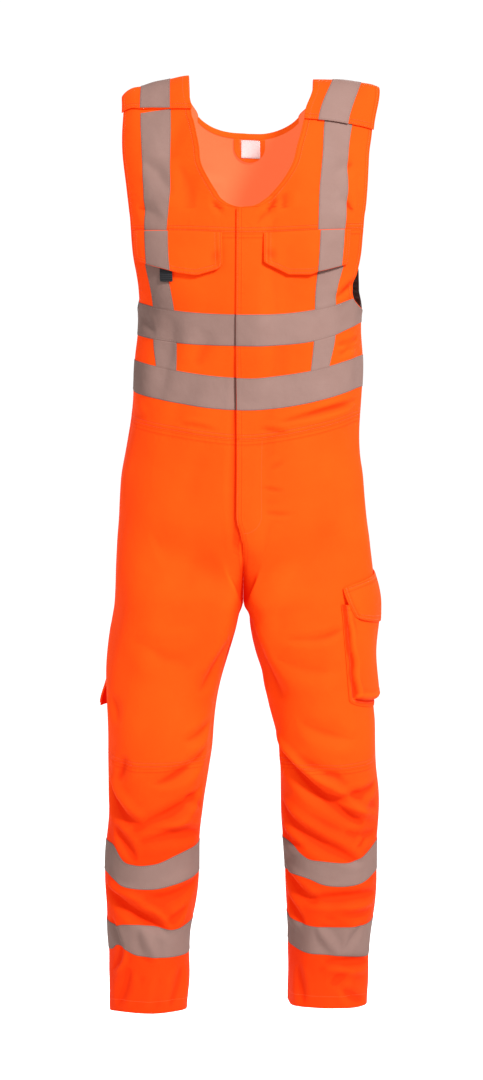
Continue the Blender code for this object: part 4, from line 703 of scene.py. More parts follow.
def new_mesh(name, points, faces, marks, maps, materials):
    """A mesh piece from arrays: faces are groups of equal size, marks their material numbers."""
    mesh = bpy.data.meshes.new(name)
    sizes = np.concatenate([np.full(len(group), group.shape[1]) for group in faces])
    corners = np.concatenate([group.ravel() for group in faces]).astype(np.int32)
    mesh.vertices.add(len(points))
    mesh.vertices.foreach_set("co", np.ascontiguousarray(points, dtype=np.float32).ravel())
    mesh.loops.add(len(corners))
    mesh.loops.foreach_set("vertex_index", corners)
    mesh.polygons.add(len(sizes))
    mesh.polygons.foreach_set("loop_start", (np.cumsum(sizes) - sizes).astype(np.int32))
    mesh.polygons.foreach_set("material_index", np.concatenate(marks).astype(np.int32))
    for key, values in maps.items():
        layer = mesh.uv_layers.new(name=key)
        layer.data.foreach_set("uv", np.ascontiguousarray(values[corners], dtype=np.float32).ravel())
    for material in materials:
        mesh.materials.append(material)
    mesh.update(calc_edges=True)
    mesh.validate()
    mesh.shade_smooth()
    thing = bpy.data.objects.new(name, mesh)
    bpy.context.scene.collection.objects.link(thing)
    return thing


def shell(name, points, normals, thick, outer, inner=None, sewn="", cells=None, shaded=0.0):
    """A piece of cloth: its face, its back, and a half-round rim along every edge.

    The rim bulges from the cut edge by half the thickness. sewn names the edges that carry stitching: l and r
    for the first and last column, f and t for the first and last row. shaded is painted shade, added to the
    crease measure that the finish turns into painted shade. The piece stands for the node of the same name.
    """
    rows, columns = points.shape[:2]
    across, up = measured(points)
    index = np.arange(rows * columns).reshape(rows, columns)
    face = quads_of(index, cells)
    flat_points, flat_normals = points.reshape(-1, 3), normals.reshape(-1, 3)
    corners = flat_points[face]
    diagonal = np.cross(corners[:, 2] - corners[:, 0], corners[:, 3] - corners[:, 1])
    if np.sum(diagonal * flat_normals[face[:, 0]]) < 0:
        face = face[:, ::-1]
        diagonal = -diagonal

    edges = np.concatenate([face[:, [i, (i + 1) % 4]] for i in range(4)])
    size = rows * columns
    lone = ~np.isin(edges[:, 0] * size + edges[:, 1], edges[:, 1] * size + edges[:, 0])
    edges = edges[lone]
    rim, place = np.unique(edges, return_inverse=True)
    place = place.reshape(-1, 2)
    sideways = np.cross(flat_points[edges[:, 1]] - flat_points[edges[:, 0]], flat_normals[edges[:, 0]])
    sideways /= np.maximum(np.linalg.norm(sideways, axis=1, keepdims=True), 1e-12)
    aside = np.zeros((len(rim), 3))
    np.add.at(aside, place[:, 0], sideways)
    np.add.at(aside, place[:, 1], sideways)
    aside /= np.maximum(np.linalg.norm(aside, axis=1, keepdims=True), 1e-12)

    back_points = flat_points - flat_normals * thick
    middle = flat_points[rim] - flat_normals[rim] * thick / 2
    rings = []
    for turn in (math.pi / 4, math.pi / 2, 3 * math.pi / 4):
        rings.append(middle + (flat_normals[rim] * math.cos(turn) + aside * math.sin(turn)) * thick / 2)
    first = 2 * size + np.arange(len(rings))[:, None] * len(rim)
    levels = [rim] + [start + np.arange(len(rim)) for start in first[:, 0]] + [rim + size]
    bridge = []
    start, end = place.T
    for low, high in zip(levels, levels[1:]):
        bridge.append(np.stack([low[end], low[start], high[start], high[end]], axis=1))
    bridge = np.concatenate(bridge)

    from_last = across[:, -1:] - across
    side_distance = np.minimum(across if "l" in sewn else FAR, from_last if "r" in sewn else FAR)
    end_distance = np.minimum(up if "f" in sewn else FAR, up[-1:] - up if "t" in sewn else FAR)
    # hollow becomes painted shade and raised a painted highlight in the finish
    hollow, raised = creased(points, normals)
    maps = {
        CLOTH_MAP: np.stack([across, up], axis=-1).reshape(-1, 2),
        EDGE_MAP: np.stack([side_distance + 0 * across, end_distance + 0 * up], axis=-1).reshape(-1, 2),
        PAINTED_LIGHT_MAP: np.stack([hollow + shaded, raised], axis=-1).reshape(-1, 2),
    }
    layers = {key: [values, values] + [values[rim]] * len(rings) for key, values in maps.items()}
    maps = {key: np.concatenate(layer) for key, layer in layers.items()}
    everything = np.concatenate([flat_points, back_points] + rings)
    faces = np.concatenate([face, face[:, ::-1] + size, bridge])
    marks = np.repeat([0, 1 if inner else 0, 0], [len(face), len(face), len(bridge)])
    used, faces = np.unique(faces, return_inverse=True)
    maps = {key: values[used] for key, values in maps.items()}
    materials = [outer, inner] if inner else [outer]
    thing = new_mesh(name, everything[used], [faces.reshape(-1, 4)], [marks], maps, materials)

    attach(thing, "root")
    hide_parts(name)
    return thing


# ---------------------------------------------------------------- stitching
THREADS = {}             # rows of stitching by the piece of thread they belong to


def stitch(group, form, way, run, lift=0.0):
    """One row of stitching along places of a form: equal stitches, laid end to end with small gaps."""
    points, normals = form.laid(np.asarray(way, dtype=float), np.asarray(run, dtype=float), lift)
    stitch_points(group, points, normals)


def stitch_points(group, points, normals):
    """One row of stitching along a line of points."""
    reach = np.pad(np.cumsum(np.linalg.norm(np.diff(points, axis=0), axis=1)), (1, 0))
    count = int(reach[-1] / (STITCH + STITCH_GAP))
    if count < 1:
        return
    middle = (np.arange(count) + 0.5) * reach[-1] / count

    def at(values, where):
        return np.stack([np.interp(where, reach, values[:, k]) for k in range(3)], axis=1)

    start, end = at(points, middle - STITCH / 2), at(points, middle + STITCH / 2)
    THREADS.setdefault(group, []).append((start, end, at(normals, middle)))


def sew(name, material):
    """All rows of one thread as one piece. A stitch is a spindle: a tip, two rings of five points, a tip."""
    start, end, normal = (np.concatenate([row[k] for row in THREADS[name]]) for k in range(3))
    along = end - start
    sideways = np.cross(along, normal)
    sideways /= np.maximum(np.linalg.norm(sideways, axis=1, keepdims=True), 1e-12)
    turns = (np.arange(5) * 2 * math.pi / 5)[:, None]
    ring = (normal[:, None] * np.cos(turns) + sideways[:, None] * np.sin(turns)) * THREAD
    parts = [(start - normal * THREAD)[:, None]]
    parts += [(start + along * share)[:, None] + ring for share in (0.22, 0.78)]
    parts += [(end - normal * THREAD)[:, None]]
    points = np.concatenate(parts, axis=1)
    ahead = (np.arange(5) + 1) % 5
    low, high = 1 + np.arange(5), 6 + np.arange(5)
    sides = np.stack([low, 1 + ahead, 6 + ahead, high], axis=1)
    first_tip = np.stack([0 * low, 1 + ahead, low], axis=1)
    last_tip = np.stack([0 * high + 11, high, 6 + ahead], axis=1)
    start_at = 12 * np.arange(len(start))[:, None, None]
    sides = (sides + start_at).reshape(-1, 4)
    tips = (np.concatenate([first_tip, last_tip]) + start_at).reshape(-1, 3)
    marks = [np.zeros(len(sides)), np.zeros(len(tips))]
    thing = new_mesh(name, points.reshape(-1, 3), [sides, tips], marks, {}, [material])
    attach(thing, "root")
    return thing


# ---------------------------------------------------------------- finishes
FULL_TURN = 2 * math.pi
GROOVE, GROOVE_WIDTH = 0.00022, 0.0010           # depth and width of the groove that a row of stitching makes
DOUBLE = 0.00035         # height of the double layer beside a sewn edge
PUCKER, PUCKER_SIZE, PUCKER_REACH = 0.0011, 0.0075, 0.016      # height, size and reach of the puckers there
TWILL_RIB, TWILL_YARN = 0.0009, 0.0006           # distances between the twill's ribs and between its yarns
LEG_SHADE, LEG_SHADE_BLUR = -1.09, 0.10          # level below which the legs are in shade, and its blur
HATCH, HATCH_TURN = 0.0014, 0.006                # distance between the tape's fine lines, and where they turn
TAPE_SHADED_RIM = 0.0007        # width of the tape's rim, darkened with painted shade
ELASTIC_RIB, ELASTIC_KNIT = 0.0032, 0.0011       # distances between the elastic's ribs and between its loops
LABEL_YARNS = (0.0005, 0.0004)                   # distances between the label's yarns


class Value:
    """A number on a shader socket. Each sum or product with it adds one Math node."""

    def __init__(self, finish, socket):
        self.finish, self.socket = finish, socket

    def math(self, operation, *others):
        node = self.finish.node("ShaderNodeMath", {"operation": operation}, *[self, *others])
        return Value(self.finish, node.outputs[0])

    def __add__(self, other):
        return self.math("ADD", other)

    def __sub__(self, other):
        return self.math("SUBTRACT", other)

    def __mul__(self, other):
        return self.math("MULTIPLY", other)

    def __rsub__(self, other):
        return (self * -1.0) + other

    __radd__ = __add__
    __rmul__ = __mul__

    def sine(self):
        return self.math("SINE")

    def size(self):
        return self.math("ABSOLUTE")

    def larger_of(self, other):
        return self.math("MAXIMUM", other)

    def to_and_fro(self, length):
        return self.math("PINGPONG", length)

    def below(self, limit, blur):
        """1 well below a limit, 0 above it, with a soft change over the blur's length."""
        node = self.finish.node("ShaderNodeMapRange", {"interpolation_type": "SMOOTHSTEP"},
                                self, limit - blur, limit + blur, 1.0, 0.0)
        return Value(self.finish, node.outputs[0])

    def beside(self, centre, width):
        """1 at a centre, falling softly to 0 at a distance of the width."""
        return (self - centre).size().below(width * 0.5, width * 0.5)


class Finish:
    """A material in the making: its nodes, and the sockets that cloth patterns start from."""

    def __init__(self, name):
        self.material = bpy.data.materials.new(name)
        self.material.use_nodes = True
        self.tree = self.material.node_tree
        self.shader = self.tree.nodes["Principled BSDF"]

    def plug(self, socket, value):
        if isinstance(value, Value):
            self.tree.links.new(value.socket, socket)
        elif hasattr(value, "is_output"):
            self.tree.links.new(value, socket)
        else:
            socket.default_value = value

    def node(self, kind, settings, *values, **named):
        """A node of a type, with its settings, then its sockets' values or links in order or by name."""
        node = self.tree.nodes.new(kind)
        for key, value in settings.items():
            setattr(node, key, value)
        for socket, value in zip(node.inputs, values):
            self.plug(socket, value)
        for key, value in named.items():
            self.plug(node.inputs[key], value)
        return node

    def map_values(self, name):
        """The two numbers of one of the piece's maps, in metres."""
        uv = self.node("ShaderNodeUVMap", {"uv_map": name})
        parts = self.node("ShaderNodeSeparateXYZ", {}, uv.outputs[0])
        return Value(self, parts.outputs[0]), Value(self, parts.outputs[1])

    def noise(self, size, detail=2.0, across=None, along=None, rough=0.5):
        """Soft noise with features of a size in metres, in space or over two given numbers."""
        if across is None:
            place = self.node("ShaderNodeTexCoord", {}).outputs["Object"]
        else:
            place = self.node("ShaderNodeCombineXYZ", {}, across, along).outputs[0]
        node = self.node("ShaderNodeTexNoise", {}, Vector=place, Scale=1.0 / size, Detail=detail,
                         Roughness=rough)
        return Value(self, node.outputs[0])

    def blend(self, share, low, high):
        """A colour between two, as a Mix node gives it."""
        node = self.node("ShaderNodeMix", {"data_type": "RGBA"})
        self.plug(node.inputs[0], share)
        for socket, colour in ((node.inputs[6], low), (node.inputs[7], high)):
            self.plug(socket, (*colour, 1.0) if isinstance(colour, tuple) else colour)
        return node.outputs[2]

    def done(self, colour, height, roughness, **fixed):
        """Plugs in the colour, the roughness and a height in metres, and sets what is the same all over."""
        self.plug(self.shader.inputs["Base Color"], colour)
        self.plug(self.shader.inputs["Roughness"], roughness)
        if height is not None:
            bump = self.node("ShaderNodeBump", {}, Height=height, Distance=1.0, Strength=1.0)
            self.plug(self.shader.inputs["Normal"], bump.outputs[0])
        for key, value in fixed.items():
            self.shader.inputs[key.replace("_", " ")].default_value = value
        return self.material


def sewn_edges(finish):
    """Heights near stitched edges: needle grooves, the double layer of the turned edge, and small puckers."""
    side, end = finish.map_values(EDGE_MAP)
    u, v = finish.map_values(CLOTH_MAP)
    height, groove = None, None
    for distance, along in ((side, v), (end, u)):
        first, second = (distance.beside(at, GROOVE_WIDTH) for at in SEAM_STITCHES)
        lines = first.larger_of(second)
        double = distance.below(SEAM_STITCHES[1] + 0.0016, 0.0007)
        near = distance.below(PUCKER_REACH, 0.014)
        pucker = (finish.noise(PUCKER_SIZE, 1.0, along, distance * 0.35) - 0.5) * near
        part = double * DOUBLE - lines * GROOVE + pucker * PUCKER
        height = part if height is None else height + part
        groove = lines if groove is None else groove.larger_of(lines)
    return height, groove


def cloth_finish(name, colour, deep, painted_glow):
    """Matte twill: diagonal ribs, soft crumpling, uneven dye, and grooves and puckers along stitched edges.

    The share of the deep colour grows with the dye's unevenness, and with painted shade in hollows, in the
    stitching's grooves and down the legs; it falls on ridges, a painted highlight. The emission is painted
    light: it stands for the fluorescent dye's brightness and lifts the shaded parts.
    """
    finish = Finish(name)
    u, v = finish.map_values(CLOTH_MAP)
    ribs = ((u + v) * (FULL_TURN / TWILL_RIB)).sine()
    threads = ((u - v * 0.6) * (FULL_TURN / TWILL_YARN)).sine()
    crumple = finish.noise(0.030, 2.0, rough=0.45) * 0.0011 + finish.noise(0.006, 2.0) * 0.00016
    height = ribs * 0.000025 + threads * 0.000010 + crumple
    shade = finish.noise(0.11, 3.0, rough=0.55)
    fine = finish.noise(0.0012, 2.0)
    # painted shade from the hollows and a painted highlight from the ridges
    hollow, raised = finish.map_values(PAINTED_LIGHT_MAP)
    place = finish.node("ShaderNodeTexCoord", {}).outputs["Object"]
    height_above = Value(finish, finish.node("ShaderNodeSeparateXYZ", {}, place).outputs[2])
    # painted shade: the legs darken below a level, as less light reaches them
    low = (height_above + shade * 0.16).below(LEG_SHADE, LEG_SHADE_BLUR)
    share = shade * 0.5 + fine * 0.22 + ribs * 0.05 - 0.12 + hollow * 1.4 - raised * 0.35 + low * 0.62
    edge_height, groove = sewn_edges(finish)
    # painted shade in the stitching's grooves
    mixed = finish.blend(share + groove * 0.45, colour, deep)
    # the emission is painted light that lifts the cloth's shade
    return finish.done(mixed, height + edge_height, shade * 0.10 + 0.74, Sheen_Weight=0.03,
                       Sheen_Roughness=0.45, Sheen_Tint=(1.0, 0.30, 0.05, 1.0), Emission_Color=(*painted_glow, 1.0),
                       Emission_Strength=1.0, Specular_IOR_Level=0.03)


def tape_finish():
    """Glass-bead tape: a fine hatch that turns to and fro, a woven ground, dull patches and a soft shine.
    Painted shade darkens its rim and the grooves of its stitching.
    """
    finish = Finish("reflective_tape_woven")
    u, v = finish.map_values(CLOTH_MAP)
    side, end = finish.map_values(EDGE_MAP)
    hatch = ((u.to_and_fro(HATCH_TURN) + v) * (FULL_TURN / HATCH)).sine()
    patches = finish.noise(0.045, 3.0, rough=0.6)
    fine = finish.noise(0.0008, 2.0)
    line = side.beside(TAPE_STITCH, 0.0009).larger_of(end.beside(TAPE_STITCH, 0.0009))
    height = hatch * 0.000016 + finish.noise(0.022, 2.0) * 0.0010 + fine * 0.00002 - line * 0.00016
    rim = side.below(TAPE_SHADED_RIM, 0.0003).larger_of(end.below(TAPE_SHADED_RIM, 0.0003))
    # painted shade: line darkens the stitching's grooves and rim darkens the tape's edge
    share = patches * 0.55 + hatch * 0.09 + fine * 0.22 + line * 0.4 + rim * 1.2 - 0.10
    mixed = finish.blend(share, (0.142, 0.088, 0.076), (0.104, 0.058, 0.048))
    return finish.done(mixed, height, patches * 0.14 + 0.68, Specular_IOR_Level=0.05)


def elastic_finish():
    """Black ribbed elastic: narrow ribs across it, with a matte knit between them."""
    finish = Finish("black_ribbed_elastic")
    u, v = finish.map_values(CLOTH_MAP)
    ribs = (v * (FULL_TURN / ELASTIC_RIB)).sine()
    knit = (u * (FULL_TURN / ELASTIC_KNIT)).sine()
    share = ribs * 0.35 + finish.noise(0.002, 2.0) * 0.4
    mixed = finish.blend(share, (0.004, 0.004, 0.005), (0.016, 0.015, 0.017))
    return finish.done(mixed, ribs * 0.00022 + knit * 0.00005, finish.noise(0.01, 2.0) * 0.15 + 0.62,
                       Sheen_Weight=0.06, Sheen_Roughness=0.4, Specular_IOR_Level=0.15)


def label_finish():
    """White woven label: a fine plain weave, a little darker near its turned ends."""
    finish = Finish("label_woven")
    u, v = finish.map_values(CLOTH_MAP)
    weave_height = (u * (FULL_TURN / LABEL_YARNS[0])).sine() + (v * (FULL_TURN / LABEL_YARNS[1])).sine()
    side, end = finish.map_values(EDGE_MAP)
    share = finish.noise(0.004, 2.0) * 0.6 + end.below(0.003, 0.001) * 0.4
    mixed = finish.blend(share, (0.56, 0.50, 0.50), (0.42, 0.36, 0.37))
    return finish.done(mixed, weave_height * 0.00002, finish.noise(0.003, 1.0) * 0.1 + 0.5)


def thread_finish(name, colour, painted_glow):
    """Spun thread: matte, with a fine unevenness of colour. Its emission is painted light, as on the cloth.
    """
    finish = Finish(name)
    mixed = finish.blend(finish.noise(0.0007, 1.0), colour, tuple(0.72 * part for part in colour))
    return finish.done(mixed, None, finish.noise(0.001, 1.0) * 0.1 + 0.55, Emission_Color=(*painted_glow, 1.0),
                       Emission_Strength=1.0)


# orange: its colour, the deep colour that dye unevenness and painted shade blend to, and an emission that is
# painted light
ORANGE = cloth_finish("orange_twill", (0.36, 0.045, 0.0021), (0.24, 0.017, 0.0006), (0.48, 0.001, 0.0))
# inside: the cloth's own paler colour, with a strong emission, painted light that evens out the shade inside
INSIDE = cloth_finish("orange_twill_inside", (0.38, 0.052, 0.021), (0.34, 0.040, 0.016), (0.60, 0.128, 0.044))
# a lighter copy of the orange with more emission: painted light that lifts the facing and the hanger loop out
# of the shade inside the neck
TRIM_PAINTED_LIGHT = cloth_finish("orange_lining", (0.38, 0.050, 0.0040), (0.30, 0.036, 0.0024), (0.50, 0.055, 0.004))
TAPE = tape_finish()
ELASTIC = elastic_finish()
LABEL = label_finish()
# the orange thread's emission is painted light, as on the cloth
THREAD_ORANGE = thread_finish("orange_thread", (0.34, 0.050, 0.003), (0.40, 0.002, 0.0))
THREAD_GREY = thread_finish("grey_thread", (0.18, 0.115, 0.100), (0.0, 0.0, 0.0))


# ---------------------------------------------------------------- front of the bodice
def lap_lift(side, way, level):
    """How far the left front stands out where it laps over the right one, as far down as the fly."""
    if side < 0:
        return np.zeros_like(way)
    distance = bend(np.sin(way * math.pi / 2), 2 / RING) * read(BODY, "half_width", level)
    near_centre = 1 - smoothstep(*OVERLAP_FADE, distance)
    return OVERLAP_LIFT * near_centre * smoothstep(FLY_END - FLY_FADE, FLY_END, level)


def lap_width(level):
    """How far the lap's edge lies from the body's own centre line; the edge itself runs straight down."""
    return OVERLAP + read(BODY, "centre", level)


def painted_lap_shadow(side, way, level):
    """How deep the painted shadow is that the lap's edge casts on the right front: a bell curve, as far down
    as the fly.
    """
    if side > 0:
        return 0.0
    distance = bend(np.sin(way * math.pi / 2), 2 / RING) * read(BODY, "half_width", level) - lap_width(level)
    here = smoothstep(*LAP_SHADE_TOP, level) * smoothstep(FLY_END - 0.028, FLY_END + 0.010, level) * (way < 1)
    return LAP_SHADE * np.exp(-(distance / LAP_SHADE_WIDTH) ** 2) * here


def centre_edge(side):
    """The front panels' inner edge: the left one laps over to the right as far down as the fly goes."""
    if side < 0:
        return lambda level: way_at(0.001, level)
    return lambda level: way_at(-lap_width(level), level) * smoothstep(FLY_END, FLY_END + FLY_FADE, level)


def neck_edge(side):
    """The inner edge of the yoke: the neckline, which comes down to the lapped centre."""
    def edge(level):
        neck = np.maximum(read(FRONT_EDGES, "neck", level), 0.001)
        under_strap = smoothstep(STRAP_FOOT, CROWN, level)
        neck = neck + (STRAP_CROWN[NAMES[side]] + UNDER_STRAP - neck) * under_strap
        neck = neck + UNDER_STRAP * smoothstep(STRAP_FOOT - 0.010, STRAP_FOOT, level)
        middle = read(FRONT_EDGES, "middle", level)
        closed = smoothstep(NECK_CLOSED[1], NECK_CLOSED[0], neck)
        return (1 - closed) * way_at(neck + side * middle, level) + closed * centre_edge(side)(level)

    return edge


def front_edge(side):
    """The outer edge of the front panels: the armhole, and below it the side seam."""
    return lambda level: np.clip(read(FRONT_EDGES, "armhole_" + NAMES[side], level), 0.0, 1.0)


def below_armhole(line, edge):
    """A line round the bodice that stays below the foot of the armhole. edge gives a way for a level."""
    levels = np.linspace(-0.375, -0.335, 60)
    ways = np.maximum.accumulate(edge(levels)[::-1])
    return lambda way: np.minimum(line(way), np.interp(way, ways, levels[::-1], right=levels[0]) - 0.0010)


def inset(way, level, sewn, up=1.0):
    """The same grid with its sewn edges drawn in by half a seam: l, r, f and t as in a shell."""
    way, level = way.copy(), level.copy()
    level[0] += up * SEAM_INSET * ("f" in sewn)
    level[-1] -= up * SEAM_INSET * ("t" in sewn)
    way[:, 0] += SEAM_WAY * ("l" in sewn)
    way[:, -1] -= SEAM_WAY * ("r" in sewn)
    return way, level


def strip(name, form, way, run, lift, sewn):
    """A length of reflective tape on a form, with stitching along the edges named in sewn."""
    points, normals = form.laid(way, run, lift + TAPE_GAP + TAPE_WALL)
    shell(name, points, normals, TAPE_WALL, TAPE, sewn=sewn)
    across, up = measured(points)
    for key, grid in (("l", across), ("r", across[:, -1:] - across)):
        if key in sewn:
            column = np.argmin(np.abs(grid[len(grid) // 2] - TAPE_STITCH))
            stitch_points("stitching_tape", points[:, column], normals[:, column])
    for key, grid in (("f", up), ("t", up[-1:] - up)):
        if key in sewn:
            row = np.argmin(np.abs(grid[:, grid.shape[1] // 2] - TAPE_STITCH))
            stitch_points("stitching_tape", points[row], normals[row])


def tape_rows(foot, top):
    """Lines and cells of a strip of tape: narrow rows near both edges, where its stitching lies."""
    return [foot, shifted(foot, TAPE_STITCH), shifted(top, -TAPE_STITCH), top], [1, 13, 1]


def make_front(name, side):
    """Yoke, bib panel, bands, braces and chest flap on one side of the front."""
    form = BODICE[name]
    lines = {key: level_line(key, side) for key in LINES}

    edges = [centre_edge(side), front_edge(side)]
    way, level = weave([lines["waist"], lines["yoke"]], [cells_for(0.33)], edges, [cells_for(0.27)])
    way, level = inset(way, level, "ftr")
    lift = lap_lift(side, way, level)
    points, normals = form.laid(way, run_of(level), lift)
    # painted shadow beside the lap's edge on the right front
    shell(f"bib_front_{name}", points, normals, WALL, ORANGE, INSIDE, sewn="lrft",
          shaded=painted_lap_shadow(side, way, level))

    rows = [level_row(at) for at in (*NECK_LEVELS, CROWN - STRAP_SHORT)]
    way, level = weave([lines["yoke"]] + rows, [10, 10, 20, 56], [neck_edge(side), front_edge(side)], [68])
    way, level = inset(way, level, "f")
    lift = lap_lift(side, way, level)
    points, normals = form.laid(way, run_of(level), lift)
    shell(f"yoke_front_{name}", points, normals, WALL, ORANGE, INSIDE, sewn="lrf")

    start = centre_edge(side) if side > 0 else (lambda level: way_at(lap_width(level) + 0.0012, level))
    for band in ("lower", "upper"):
        foot, top = lines[band + "_band_foot"], lines[band + "_band_top"]
        if band == "upper":
            top = below_armhole(top, front_edge(side))
        rows, cells = tape_rows(foot, top)
        way, level = weave(rows, cells, [start, level_row(1.0)], [cells_for(0.27)])
        way, level = inset(way, level, "r")
        strip(f"{band}_band_front_{name}", form, way, run_of(level), lap_lift(side, way, level), "ft")

    sides = [front_line("brace_in", side), front_line("brace_out", side)]
    margin = TAPE_STITCH / WAY_LENGTH
    columns = [sides[0], shifted(sides[0], margin), shifted(sides[1], -margin), sides[1]]
    parts = {
        "waist": (lines["lower_band_top"], lines["upper_band_foot"], 0.05),
        "rib": (lines["upper_band_top"], lines["under_flap"], 0.06),
        "chest": (lines["yoke"], level_row(-0.030), 0.21),
    }
    for part, (foot, top, length) in parts.items():
        way, level = weave([foot, top], [cells_for(length)], columns, [1, 9, 1])
        strip(f"brace_{part}_{name}", form, way, run_of(level), 0.0, "lr")
    make_chest_flap(name, side)
    stitch_front(name, side)


def stitch_front(name, side):
    """Rows of stitching on one side of the front: yoke seam, waist seam, neckline, armhole and front edge."""
    form, inner, outer = BODICE[name], centre_edge(side), front_edge(side)

    def row(way, level, lift):
        stitch("stitching_bodice", form, way, run_of(level), lift)

    seams = {"yoke": (inner(np.array(-0.24)) + 0.01, outer(np.array(-0.23)) - 0.01),
             "waist": (inner(np.array(-0.57)) + 0.01, 0.995)}
    for seam, ends in seams.items():
        way = np.linspace(*ends, 160)
        for distance in SEAM_STITCHES:
            level = level_line(seam, side)(way) + distance
            row(way, level, lap_lift(side, way, level))
    level = np.linspace(-0.362, CROWN - 0.030, 220)
    row(outer(level) - SEAM_STITCHES[1] / WAY_LENGTH, level, 0.0)
    level = np.linspace(-0.190, CROWN - 0.030, 160)
    edge = neck_edge(side)(level)
    row(edge + EDGE_STITCH / WAY_LENGTH, level, lap_lift(side, edge, level))
    if side > 0:
        level = np.linspace(-0.565, -0.205, 200)
        way = way_at(SEAM_STITCHES[0] - lap_width(level), level)
        row(way, level, lap_lift(side, way, level))


def make_chest_flap(name, side):
    """A chest flap: sewn under the yoke, its pointed lower edge stands off. The brace runs down over it."""
    form = BODICE[name]
    yoke = level_line("yoke", side)
    share = np.linspace(0.0, 1.0, 61)
    inner, outer = (front_line(key, side)(FLAP_MIDDLE) for key in ("flap_in", "flap_out"))

    def grid(share, rows):
        """Places of the flap between its seam and its foot, and how far it stands off there."""
        way = np.broadcast_to(inner + (outer - inner) * share, (len(rows), len(share)))
        top, foot = yoke(way[0]) - 0.0008, np.interp(share, *FLAP_FOOT[name].values())
        level = foot + (top - foot) * rows[:, None]
        down = 1 - rows[:, None]
        stand = down ** 0.8 * (0.72 + 0.28 * np.sin(share * math.pi))
        wave = FLAP_WAVE * np.sin(share * 9.0 + (2.0 if side > 0 else 0.4)) * down
        pinch = FLAP_PINCH * np.exp(-((share - 0.06) / 0.05) ** 2 - ((rows[:, None] - 0.35) / 0.18) ** 2)
        lift = FLAP_START + FLAP_STAND * stand + wave - pinch + FLAP_WALL + lap_lift(side, way, level)
        return way, level, lift

    rows = np.linspace(0.0, 1.0, 19)
    way, level, lift = grid(share, rows)
    points, normals = form.laid(way, run_of(level), lift)
    shell(f"chest_flap_{name}", points, normals, FLAP_WALL, ORANGE, sewn="lrf")
    for distance in SEAM_STITCHES:
        in_share, low = (distance / size for size in FLAP_SIZE)
        upright = np.linspace(low, 1, 60)
        along_foot = np.linspace(in_share, 1 - in_share, 120)
        paths = ((np.full(60, in_share), upright), (along_foot, np.full(120, low)),
                 (np.full(60, 1 - in_share), upright))
        for path in paths:
            way, level, lift = (np.diagonal(part) for part in grid(*path))
            stitch("stitching_flaps", form, way, run_of(level), lift)

    width = outer - inner
    edges = [(front_line(key, side)(FLAP_MIDDLE) + shift - inner) / width
             for key, shift in zip(("brace_in", "brace_out"), CHEST_TAPE_SHIFT[name])]
    margin = TAPE_STITCH / WAY_LENGTH / width
    share = np.concatenate([[edges[0]], np.linspace(edges[0] + margin, edges[1] - margin, 10), [edges[1]]])
    way, level, lift = grid(share, rows)
    strip(f"brace_flap_{name}", form, way, run_of(level), lift, "lr")


def make_pen_tab():
    """The short black tab that hangs out below the right chest flap: folded webbing."""
    form = BODICE["right"]
    level = np.repeat(np.linspace(*TAB_LEVELS, 9)[:, None], 7, axis=1)
    way = way_at(np.linspace(*TAB_ACROSS, 7)[None] + 0 * level, level)
    bow = 0.0006 * np.sin((level - TAB_LEVELS[0]) * 150)
    points, normals = form.laid(way, run_of(level), TAB_LIFT + TAB_WALL + bow)
    shell("pen_tab", points, normals, TAB_WALL, ELASTIC)


# ---------------------------------------------------------------- back of the bodice
def back_edge(level):
    """The outer edge of the back panel: the armhole, then the elastic insert, then the side seam."""
    return np.clip(read(BACK_EDGES, "insert", level), 0.0, 1.0)


def neck_height(way):
    """The top row of the back below the straps: the neckline, and the strap's foot beside it."""
    across = read(BODY, "half_width", STRAP_FOOT) * bend(np.sin(way * math.pi / 2), 2 / RING)
    return np.where(across < STRAP_IN, read(BACK_NECK, "height", across), STRAP_FOOT)


BACK_ROWS = [cells_for(0.42), 12]
BACK_COLUMNS = [30, 43]
STRAP_ROWS = 80
STRAP_TURN = -0.110      # level on the back below which the columns no longer follow the strap


def back_half(side):
    """Places of one half of the back, from the waist to the foot of the strap."""
    lines = [behind(level_line("waist", side)), level_row(STRAP_TURN), neck_height]

    def strap_line(level):
        """The strap's inner edge at its foot, drawn in lower down to keep the cells even."""
        near_neck = smoothstep(-0.20, STRAP_FOOT, level)
        return way_at(STRAP_IN, level) * near_neck + 0.41 * back_edge(level) * (1 - near_neck)

    return weave(lines, BACK_ROWS, [level_row(0.0), strap_line, back_edge], BACK_COLUMNS)


def strap_edges(name, run):
    """Ways of a strap's inner edge, the two edges of its brace and its outer edge, at a run."""
    side = SIDES[name]
    height = height_of(run)
    in_front = smoothstep(1.35 * OVER, 0.85 * OVER, run)
    crown_share = smoothstep(STRAP_FOOT, STRAP_FOOT + (CROWN - STRAP_FOOT) * (0.5 + 0.5 * in_front), height)
    foot_edge = STRAP_IN + (read(FRONT_EDGES, "neck", height) - STRAP_IN) * in_front
    inner = way_at(foot_edge + (STRAP_CROWN[name] - foot_edge) * crown_share, height)
    outer = back_edge(height) * (1 - in_front) + front_edge(side)(height) * in_front
    drift = FLAP_TAPE_DRIFT[name] * smoothstep(OVER, run_of(FLAP_END[name][0]), run)
    braces = [back_line(key, side)(height) * (1 - in_front) + front_line(key, side)(height) * in_front + drift
              for key in ("brace_in", "brace_out")]
    return [inner, *braces, outer]


def strap_run(name, width, share):
    """The run at a share of the strap's length, from its foot on the back to its end in front."""
    inner_end, outer_end = FLAP_END[name]
    start = on_back(np.array(STRAP_FOOT))
    end = run_of(inner_end + (outer_end - inner_end) * width)
    return start + (end - start) * share


def strap_lift(run):
    """The strap's end lies on the front panel, so the strap rises above it past the crown."""
    return STRAP_LIFT * smoothstep(1.25 * OVER, 1.02 * OVER, run)


def strap_half(name, width):
    """Places of one shoulder strap, for shares of its width."""
    run = strap_run(name, width, np.linspace(0.0, 1.0, STRAP_ROWS + 1)[:, None])
    inner, _, _, outer = strap_edges(name, run)
    return inner + (outer - inner) * width, run


